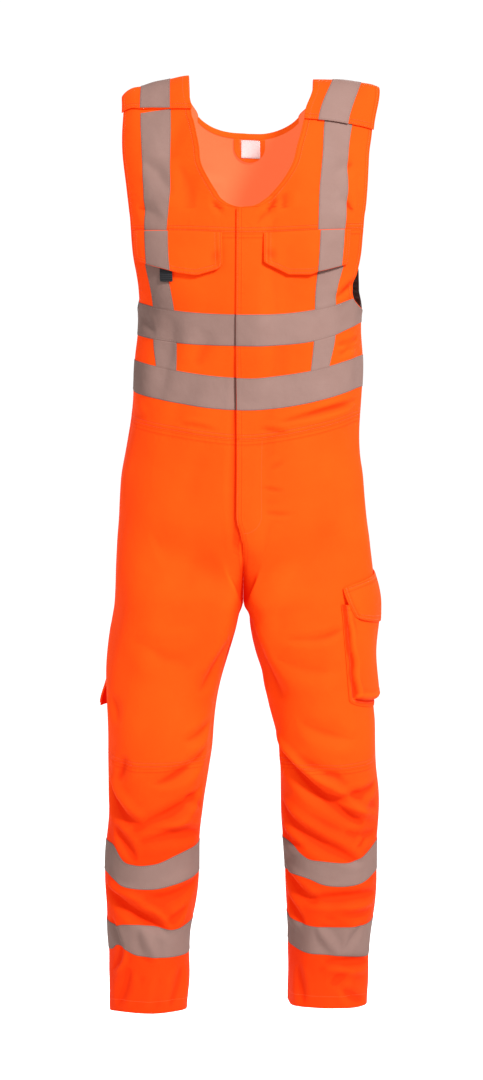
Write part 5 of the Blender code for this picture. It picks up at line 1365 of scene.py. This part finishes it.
def make_back():
    """The back panel with both straps as one piece of cloth, its bands and its braces."""
    points, normals = [], []
    for name, side in SIDES.items():
        form = BODICE[name]
        way, level = inset(*back_half(side), "f")
        column = way[-1, BACK_COLUMNS[0]:]
        width = (column - column[0]) / (column[-1] - column[0])
        run = on_back(level)
        strap_way, strap_at = strap_half(name, width)
        blank = BACK_COLUMNS[0]
        upper_way = np.concatenate([np.repeat(way[-1:, :blank], STRAP_ROWS, axis=0), strap_way[1:]], axis=1)
        upper_run = np.concatenate([np.repeat(run[-1:, :blank], STRAP_ROWS, axis=0), strap_at[1:]], axis=1)
        way, run = np.concatenate([way, upper_way]), np.concatenate([run, upper_run])
        half, out = form.laid(way, run, strap_lift(run))
        keep = slice(None, None, -1) if side < 0 else slice(1, None)
        points.append(half[:, keep])
        normals.append(out[:, keep])
    points, normals = np.concatenate(points, axis=1), np.concatenate(normals, axis=1)
    rows, columns = points.shape[:2]
    cells = np.ones((rows - 1, columns - 1), dtype=bool)
    middle, reach = (columns - 1) // 2, BACK_COLUMNS[0]
    cells[rows - 1 - STRAP_ROWS:, middle - reach:middle + reach] = False
    shell("back_panel", points, normals, WALL, ORANGE, INSIDE, sewn="lrft", cells=cells)

    for band in ("lower", "upper"):
        parts = []
        for name, side in SIDES.items():
            foot, top = (behind(level_line(f"{band}_band_{end}", side)) for end in ("foot", "top"))
            if band == "upper":
                top = below_armhole(top, lambda level: read(BACK_EDGES, "armhole", level))
            rows, cells = tape_rows(foot, top)
            way, level = weave(rows, cells, [level_row(0.0), level_row(1.0)], [cells_for(0.26)])
            way, level = inset(way, level, "r")
            laid = BODICE[name].laid(way, on_back(level), TAPE_GAP + TAPE_WALL)
            parts.append([part[:, ::-1] if side < 0 else part[:, 1:] for part in laid])
        points, normals = (np.concatenate([half[k] for half in parts], axis=1) for k in (0, 1))
        shell(f"{band}_band_back", points, normals, TAPE_WALL, TAPE, sewn="ft")
        for row in (1, -2):
            stitch_points("stitching_tape", points[row], normals[row])

    for name, side in SIDES.items():
        make_back_braces(name, side)
        stitch_back(name, side)


def make_back_braces(name, side):
    """The brace between the bands on the back, and the long one from the upper band over the shoulder."""
    form = BODICE[name]
    sides = [back_line("brace_in", side), back_line("brace_out", side)]
    margin = TAPE_STITCH / WAY_LENGTH
    columns = [sides[0], shifted(sides[0], margin), shifted(sides[1], -margin), sides[1]]
    foot, top = (behind(level_line(key, side)) for key in ("lower_band_top", "upper_band_foot"))
    way, level = weave([foot, top], [cells_for(0.05)], columns, [1, 9, 1])
    strip(f"brace_back_waist_{name}", form, way, on_back(level), 0.0, "lr")

    lines = [behind(level_line("upper_band_top", side)), level_row(STRAP_FOOT)]
    way, level = weave(lines, [94], columns, [1, 12, 1])
    edges = strap_edges(name, on_back(np.array(STRAP_FOOT)))
    column = way[-1]
    width = (column - edges[0]) / (edges[3] - edges[0])
    run = strap_run(name, width, np.linspace(0.0, 1.0, STRAP_ROWS + 1)[:, None])
    _, brace_in, brace_out, _ = strap_edges(name, run)
    brace_share = (column - column[0]) / (column[-1] - column[0])
    strap_way = brace_in + (brace_out - brace_in) * brace_share
    way = np.concatenate([way, strap_way[1:]])
    run = np.concatenate([on_back(level), run[1:]])
    strip(f"brace_shoulder_{name}", form, way, run, strap_lift(run), "lrt")


def stitch_back(name, side):
    """Rows of stitching on one side of the back: side seam, waist, armhole, strap edges and flap end."""
    form = BODICE[name]
    level = np.linspace(-0.540, -0.405, 90)
    for distance in SEAM_STITCHES:
        stitch("stitching_bodice", form, 1 - distance / WAY_LENGTH + 0 * level, on_back(level))
    way = np.linspace(0.0, 0.995, 160)
    for distance in SEAM_STITCHES:
        stitch("stitching_bodice", form, way, on_back(level_line("waist", side)(way, behind=True) + distance))
    level = np.linspace(-0.398, STRAP_FOOT, 220)
    stitch("stitching_bodice", form, back_edge(level) - SEAM_STITCHES[1] / WAY_LENGTH, on_back(level))
    share = np.linspace(0.0, 1.0, 120)
    for width, push in ((0.0, EDGE_STITCH), (1.0, -EDGE_STITCH)):
        run = strap_run(name, width, share)
        edge = strap_edges(name, run)[0 if width == 0.0 else 3]
        stitch("stitching_bodice", form, edge + push / WAY_LENGTH, run, strap_lift(run))
    width = np.linspace(0.03, 0.97, 90)
    for distance in SEAM_STITCHES:
        run = strap_run(name, width, 1.0) + distance * 1.3
        inner, _, _, outer = strap_edges(name, run)
        stitch("stitching_bodice", form, inner + (outer - inner) * width, run, strap_lift(run))
    way = np.linspace(0.0, way_at(STRAP_IN, STRAP_FOOT), 80)
    stitch("stitching_bodice", form, way, on_back(neck_height(way) - FACING + 0.001))


def make_insert(name, side):
    """The black elastic insert between the back panel's armhole and the side seam."""
    form = BODICE[name]
    level = np.repeat(np.linspace(INSERT_FOOT, INSERT_TOP, 34)[:, None], 11, axis=1)
    share = np.linspace(0.0, 1.0, 11)[None]
    inner = back_edge(level) + SEAM_INSET / WAY_LENGTH
    outer = np.clip(read(BACK_EDGES, "armhole", level), 0.0, 1.0) - SEAM_INSET / WAY_LENGTH
    outer = np.maximum(outer, inner + 0.002)
    gathers = 0.0008 * np.sin(level * 2 * math.pi / 0.009 + 3 * share) * np.sin(share * math.pi)
    points, normals = form.laid(inner + (outer - inner) * share, on_back(level), gathers)
    shell(f"elastic_insert_{name}", points, normals, WALL, ELASTIC)


def inside_back(across, level, out):
    """Points behind the back panel's inner face, at a distance across and a level, and the ways inward."""
    way = way_at(np.abs(across), level)
    laid = {name: BODICE[name].laid(way, on_back(level), out) for name in SIDES}
    left = (across >= 0)[..., None]
    points, normals = (np.where(left, laid["left"][k], laid["right"][k]) for k in (0, 1))
    return points, -normals


def make_neck_trim():
    """What is sewn inside the back neckline: its facing, the plain label and the hanger loop."""
    out = -WALL - 0.0002
    parts = []
    for name, side in SIDES.items():
        edges = [level_row(0.0), lambda level: way_at(STRAP_IN, level)]
        way, level = weave([shifted(neck_height, -FACING), neck_height], [4], edges, [36])
        points, normals = BODICE[name].laid(way, on_back(level), out - TRIM_WALL)
        parts.append([part[:, ::-1] if side < 0 else part[:, 1:] for part in (points, -normals)])
    points, normals = (np.concatenate([half[k] for half in parts], axis=1) for k in (0, 1))
    shell("neck_facing", points, normals, TRIM_WALL, TRIM_PAINTED_LIGHT)

    across, level = np.meshgrid(np.linspace(*LABEL_ACROSS, 11), np.linspace(*LABEL_LEVELS, 11))
    points, normals = inside_back(across, level, out - 5.0 * TRIM_WALL)
    shell("neck_label", points, normals, TRIM_WALL, LABEL, sewn="ft")
    for row in (0, -1):
        stitch_points("stitching_tape", points[row], normals[row])

    turn = np.linspace(0.0, math.pi, 33)
    straight = LOOP_DROP - LOOP_RADIUS
    length = np.linspace(0.0, 1.0, 9)[:-1]
    share = np.linspace(0.0, 1.0, 5)[:, None]
    radius = LOOP_RADIUS - LOOP_WIDTH * share
    rise = np.concatenate([-straight * length, np.full(len(turn), -straight), -straight * length[::-1]])
    swing = np.concatenate([0 * length, turn, 0 * length + math.pi])
    across = LOOP_CENTRE + radius * np.cos(swing)
    level = LOOP_TOP + rise - radius * np.sin(swing)
    swell = 0.0012 * np.sin(np.linspace(0.0, math.pi, across.shape[1])) ** 2
    points, normals = inside_back(across, level, out - 2.5 * TRIM_WALL - swell)
    shell("hanger_loop", points, normals, 1.2 * TRIM_WALL, TRIM_PAINTED_LIGHT)
    for row in (1, 3):
        stitch_points("stitching_bodice", points[row], normals[row])


# ---------------------------------------------------------------- trousers
def drawn_to_centre(side, way, level, points):
    """A trouser panel whose edge lies on the centre seam down to the crotch, except where the fly laps.

    The whole neighbourhood of the seam moves sideways with it, less and less further off.
    """
    edge = 0 if way[0, 0] < 0.5 else -1
    centre = read(BODY, "centre", level)
    seam = centre[:, edge] + side * CENTRE_INSET
    seamed = 1.0 if edge else smoothstep(FLY_END + 0.004, FLY_END, level[:, edge])
    move = (seam - points[:, edge, 0]) * seamed * smoothstep(CROTCH - PARTING, CROTCH, level[:, edge])
    from_seam = np.abs(way - way[:, edge, None])
    points[..., 0] += move[:, None] * np.exp(-(from_seam / 0.06) ** 2)
    off_centre = np.maximum(side * (points[..., 0] - centre), CENTRE_INSET)
    free = (level > FLY_END) & (way < 1)
    points[..., 0] = np.where(free, points[..., 0], centre + side * off_centre)
    return points


def painted_crotch_shade(points, level):
    """How deep the painted shade is in the hollow above the crotch: a bell round the seam that widens
    downwards.
    """
    from_seam = np.abs(points[..., 0] - read(BODY, "centre", level))
    down = smoothstep(CROTCH_SHADE_TOP, CROTCH, level)
    width = CROTCH_SHADE_WIDTH[0] + CROTCH_SHADE_WIDTH[1] * down
    here = smoothstep(0.0, 0.25, down) * (level > CROTCH - 0.052)
    return CROTCH_SHADE * np.exp(-(from_seam / width) ** 2) * here


def fly_edge(side):
    """The inner edge of a thigh panel: the fly's lap, and the centre seam and inseam below it."""
    return centre_edge(side) if side > 0 else level_row(0.0)


def make_leg(name, side):
    """One leg: thigh and shin in front, one panel behind, and two tapes round it."""
    form = LEG[name]
    hem, knee, waist = (leg_line(key, side) for key in ("hem", "knee", "waist"))
    inseam, outseam, inseam_behind, crotch = (level_row(at) for at in (0.0, 1.0, 2.0, CROTCH))
    panels = {
        f"thigh_front_{name}": ([knee, crotch, waist], (0.27, 0.30), [fly_edge(side), outseam], "lrft"),
        f"shin_front_{name}": ([hem, knee], (0.435,), [inseam, outseam], "lrt"),
        f"leg_back_{name}": ([hem, crotch, waist], (0.705, 0.30), [outseam, inseam_behind], "lrt"),
    }
    for node, (lines, lengths, edges, seams) in panels.items():
        way, level = weave(lines, [cells_for(length) for length in lengths], edges, [cells_for(0.26)])
        whole = way
        way, level = inset(way, level, seams)
        way = np.where((level > CROTCH) & ((whole <= 0) | (whole >= 2)), whole, way)
        lift = lap_lift(side, way, level) if node.startswith("thigh") else 0.0
        points, normals = form.laid(way, level, lift)
        points = drawn_to_centre(side, way, level, points)
        # painted shade beside the lap's edge and in the hollow above the crotch
        shell(node, points, normals, WALL, ORANGE, INSIDE, sewn=seams,
              shaded=painted_lap_shadow(side, way, level) + painted_crotch_shade(points, level))

    for band in ("lower", "upper"):
        rows, cells = tape_rows(leg_line(band + "_foot", side), leg_line(band + "_top", side))
        way, level = weave(rows, cells, [level_row(0.0), level_row(2.0)], [cells_for(0.50)])
        strip(f"{band}_leg_tape_{name}", form, way, level, 0.0, "ft")
    stitch_leg(name, side)


def stitch_leg(name, side):
    """Rows of stitching on one leg: outseam, inseam, hem, knee seam and, on the left leg, the fly."""
    form = LEG[name]
    level = np.linspace(-1.552, -0.560, 480)
    for distance in SEAM_STITCHES:
        stitch("stitching_legs", form, 1 + distance / WAY_LENGTH + 0 * level, level)
    level = np.linspace(-1.545, CROTCH - 0.004, 340)
    for distance in SEAM_STITCHES:
        stitch("stitching_legs", form, 2 - distance / WAY_LENGTH + 0 * level, level)
    way = np.linspace(0.0, 2.0, 260)
    stitch("stitching_legs", form, way, leg_line("hem", side)(way) + HEM_STITCH)
    way = np.linspace(0.0, 1.0, 140)
    for distance in SEAM_STITCHES:
        stitch("stitching_legs", form, way, leg_line("knee", side)(way) + distance)
    if side > 0:
        level = np.linspace(FLY_END + 0.028, -0.572, 60)
        way = way_at(SEAM_STITCHES[0] - lap_width(level), level)
        stitch("stitching_legs", form, way, level, lap_lift(side, way, level))
        turn = np.linspace(0.0, math.pi / 2, 30)[1:]
        across = np.concatenate([np.full(60, FLY_STITCH), 0.002 + (FLY_STITCH - 0.002) * np.cos(turn)])
        start, end = FLY_STITCH_LEVELS
        down = np.concatenate([np.linspace(-0.572, start, 60), start + (end - start) * np.sin(turn)])
        way = way_at(across, down)
        stitch("stitching_legs", form, way, down, lap_lift(side, way, down))


# The thigh pocket and its flap: ways of their seams, and levels at the seams and in the middle.
POCKET = {"ways": (0.655, 1.36), "foot": (-1.008, -1.028), "top": -0.846}
POCKET_FLAP = {"ways": (0.655, 1.385), "foot": (-0.866, -0.884), "top": (-0.819, -0.803)}
POCKET_DEPTH = 0.0115    # how far the pocket's face stands off the leg
POCKET_CREASE = 0.0078   # how deep the fold of its bellows is
POCKET_FLAP_STAND = 0.0085       # how far the flap stands off at its lower edge
POCKET_FLAP_SLANT = 0.065        # way by which its ends slant inwards
BELLOWS = (0.007, 0.017)           # width of the bellows beside the pocket's face, at its top and its foot
RULER = {"ways": (1.08, 1.50), "levels": (-1.037, -0.830), "stand": 0.005, "flare": 0.014}


def make_thigh_pocket():
    """The bellows pocket on the left thigh, open at its top, and its flap.

    Inside its seam the cloth rises in a fold, and the face leans out further towards the foot.
    """
    form = LEG["left"]
    start, end = POCKET["ways"]
    share = spread(np.array([[0.0], [0.12], [0.88], [1.0]]), [15, 35, 15])[:, 0]
    up = spread(np.array([[0.0], [0.14], [1.0]]), [13, 37])
    way = start + (end - start) * share + 0 * up
    foot = POCKET["foot"][0] + (POCKET["foot"][1] - POCKET["foot"][0]) * np.sin(share * math.pi) ** 0.6
    level = foot + (POCKET["top"] - foot) * up
    beside = np.minimum(way - start, end - way) * WAY_LENGTH
    above = level - foot
    width = BELLOWS[1] + (BELLOWS[0] - BELLOWS[1]) * up + 0.0022 * np.sin(level * 120 + 1.5) * (1 - up) ** 0.5
    inside = np.minimum(beside / width, above / BELLOWS[1])
    depth = POCKET_DEPTH * (1.0 - 0.45 * up)
    crease = POCKET_CREASE * np.exp(-((inside - 0.50) / 0.15) ** 2) * (0.75 + 0.25 * np.sin(level * 70 + 2.0))
    waver = 0.0012 * np.sin(level * 52 + way * 9) * smoothstep(0.8, 1.6, inside)
    bead = 0.0012 * np.exp(-((inside - 1.12) / 0.12) ** 2)
    lift = WALL + 0.0004 + depth * smoothstep(0.05, 1.05, inside) - crease + waver + bead
    lift = np.maximum(lift, WALL + 0.0003)
    points, normals = form.laid(way, level, lift)
    shell("thigh_pocket", points, normals, WALL, ORANGE, INSIDE, sewn="lrft")
    for row, column in ((3, None), (None, 4), (None, -5)):
        line = (row, slice(4, -4)) if column is None else (slice(3, None), column)
        stitch_points("stitching_flaps", points[line], normals[line])

    start, end = POCKET_FLAP["ways"]
    share = np.linspace(0.0, 1.0, 56)
    up = np.linspace(0.0, 1.0, 24)[:, None]
    way = start + (end - start) * share + POCKET_FLAP_SLANT * (1 - up) * (1 - 2 * share)
    arch = np.sin(share * math.pi) ** 0.8
    foot, top = (low + (high - low) * arch for low, high in (POCKET_FLAP["foot"], POCKET_FLAP["top"]))
    level = foot + (top - foot) * up
    drop = 1 - up
    edge = np.minimum(share, 1 - share) / 0.06
    swing = np.sin(np.clip(drop * 1.5, 0.0, 1.0) * math.pi / 2)
    lift = 0.0010 + POCKET_FLAP_STAND * swing * (0.62 + 0.38 * smoothstep(0, 1, edge))
    lift += FLAP_WALL + 0.0010 * np.sin(share * 14 + 1.0) * drop
    points, normals = form.laid(way, level, lift)
    shell("thigh_pocket_flap", points, normals, FLAP_WALL, ORANGE, sewn="lrft")
    inside = slice(1, -1)
    for line in ((1, inside), (slice(1, None), 1), (slice(1, None), -2), (-2, inside), (3, slice(3, -3))):
        stitch_points("stitching_flaps", points[line], normals[line])


def make_ruler_pocket():
    """The long narrow pocket behind the right outseam, whose free lower corner stands away from the leg."""
    form = LEG["right"]
    (start, end), (foot, top) = RULER["ways"], RULER["levels"]
    share = np.linspace(0.0, 1.0, 30)
    up = np.linspace(0.0, 1.0, 48)[:, None]
    way = start + (end - start) * share + 0 * up
    level = foot + (top - foot) * up + 0 * share
    inside = np.minimum(np.minimum(way - start, end - way) * WAY_LENGTH, level - foot) / 0.006
    corner = RULER["flare"] * (1 - share) ** 3 * smoothstep(0.28, 0.0, up)
    lift = WALL + 0.0004 + RULER["stand"] * smoothstep(0.0, 1.0, inside) + corner
    points, normals = form.laid(way, level, lift)
    shell("ruler_pocket", points, normals, WALL, ORANGE, sewn="lrft")
    for line in ((slice(None), 1), (slice(None), -2), (-2, slice(1, -1)), (1, slice(10, -1))):
        stitch_points("stitching_flaps", points[line], normals[line])


# ---------------------------------------------------------------- studio
FLOOR_LEVEL = -2.100
CAMERA_PLACE = (-0.0115, -4.0, -0.25)
CAMERA_TILT = 82.875     # degrees
LENS, SENSOR = 80.0, 36.0


def make_camera():
    """The photo's viewpoint: a long lens a little above the middle, looking slightly down."""
    camera = bpy.data.cameras.new("camera")
    camera.sensor_fit = "VERTICAL"
    camera.sensor_height = SENSOR
    camera.lens = LENS
    thing = bpy.data.objects.new("camera", camera)
    thing.location = CAMERA_PLACE
    thing.rotation_euler = (math.radians(CAMERA_TILT), 0.0, 0.0)
    bpy.context.scene.collection.objects.link(thing)
    bpy.context.scene.camera = thing


def make_light(name, place, aim, size, power, spread):
    """A soft square light at a place, turned to an aim, whose beam has a spread in degrees."""
    light = bpy.data.lights.new(name, "AREA")
    light.size = size
    light.energy = power
    light.spread = math.radians(spread)
    thing = bpy.data.objects.new(name, light)
    place, aim = np.array(place), np.array(aim)
    away = (place - aim) / np.linalg.norm(place - aim)
    thing.location = place
    thing.rotation_euler = (math.acos(away[2]), 0.0, math.atan2(away[0], -away[1]))
    bpy.context.scene.collection.objects.link(thing)


def make_studio():
    """A pale floor, an even pale surround, and three soft lights, the brightest from the camera's right."""
    size = 30.0
    corners = np.array([(-size, -size), (size, -size), (size, size), (-size, size)])
    points = np.column_stack([corners, np.full(4, FLOOR_LEVEL)])
    floor_finish = Finish("floor_paint")
    tone = floor_finish.blend(floor_finish.noise(0.6, 2.0), (0.98, 0.98, 0.98), (1.0, 1.0, 1.0))
    material = floor_finish.done(tone, None, 0.85)
    floor = new_mesh("floor", points, [np.array([[0, 1, 2, 3]])], [np.zeros(1)], {}, [material])
    world = bpy.data.worlds.new("surround")
    bpy.context.scene.world = world
    world.use_nodes = True
    world.node_tree.nodes["Background"].inputs["Color"].default_value = (1.0, 1.0, 1.0, 1.0)
    world.node_tree.nodes["Background"].inputs["Strength"].default_value = 1.05
    make_light("key", (2.5, -4.0, 2.6), (0.05, -0.1, -0.60), 0.9, 96.0, 60.0)
    make_light("fill", (-3.2, -2.2, 0.2), (0.0, 0.0, -0.8), 2.0, 22.0, 150.0)
    make_light("back", (1.6, 3.8, 1.4), (0.0, 0.0, -0.8), 1.6, 42.0, 90.0)
    view = bpy.context.scene.view_settings
    view.view_transform = "Standard"
    view.look = "None"
    view.exposure = 0.0


# ---------------------------------------------------------------- the whole
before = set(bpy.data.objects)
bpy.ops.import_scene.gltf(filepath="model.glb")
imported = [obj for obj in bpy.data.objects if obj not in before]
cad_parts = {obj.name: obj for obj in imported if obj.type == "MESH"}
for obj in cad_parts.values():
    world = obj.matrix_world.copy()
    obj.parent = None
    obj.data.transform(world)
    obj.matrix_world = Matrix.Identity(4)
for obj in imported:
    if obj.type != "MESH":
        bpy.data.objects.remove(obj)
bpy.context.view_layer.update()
make_camera()
make_studio()
for name, side in SIDES.items():
    make_front(name, side)
    make_insert(name, side)
    make_leg(name, side)
make_pen_tab()
make_back()
make_neck_trim()
make_thigh_pocket()
make_ruler_pocket()
for part in ("bodice", "legs", "flaps"):
    sew(f"stitching_{part}", THREAD_ORANGE)
sew("stitching_tape", THREAD_GREY)
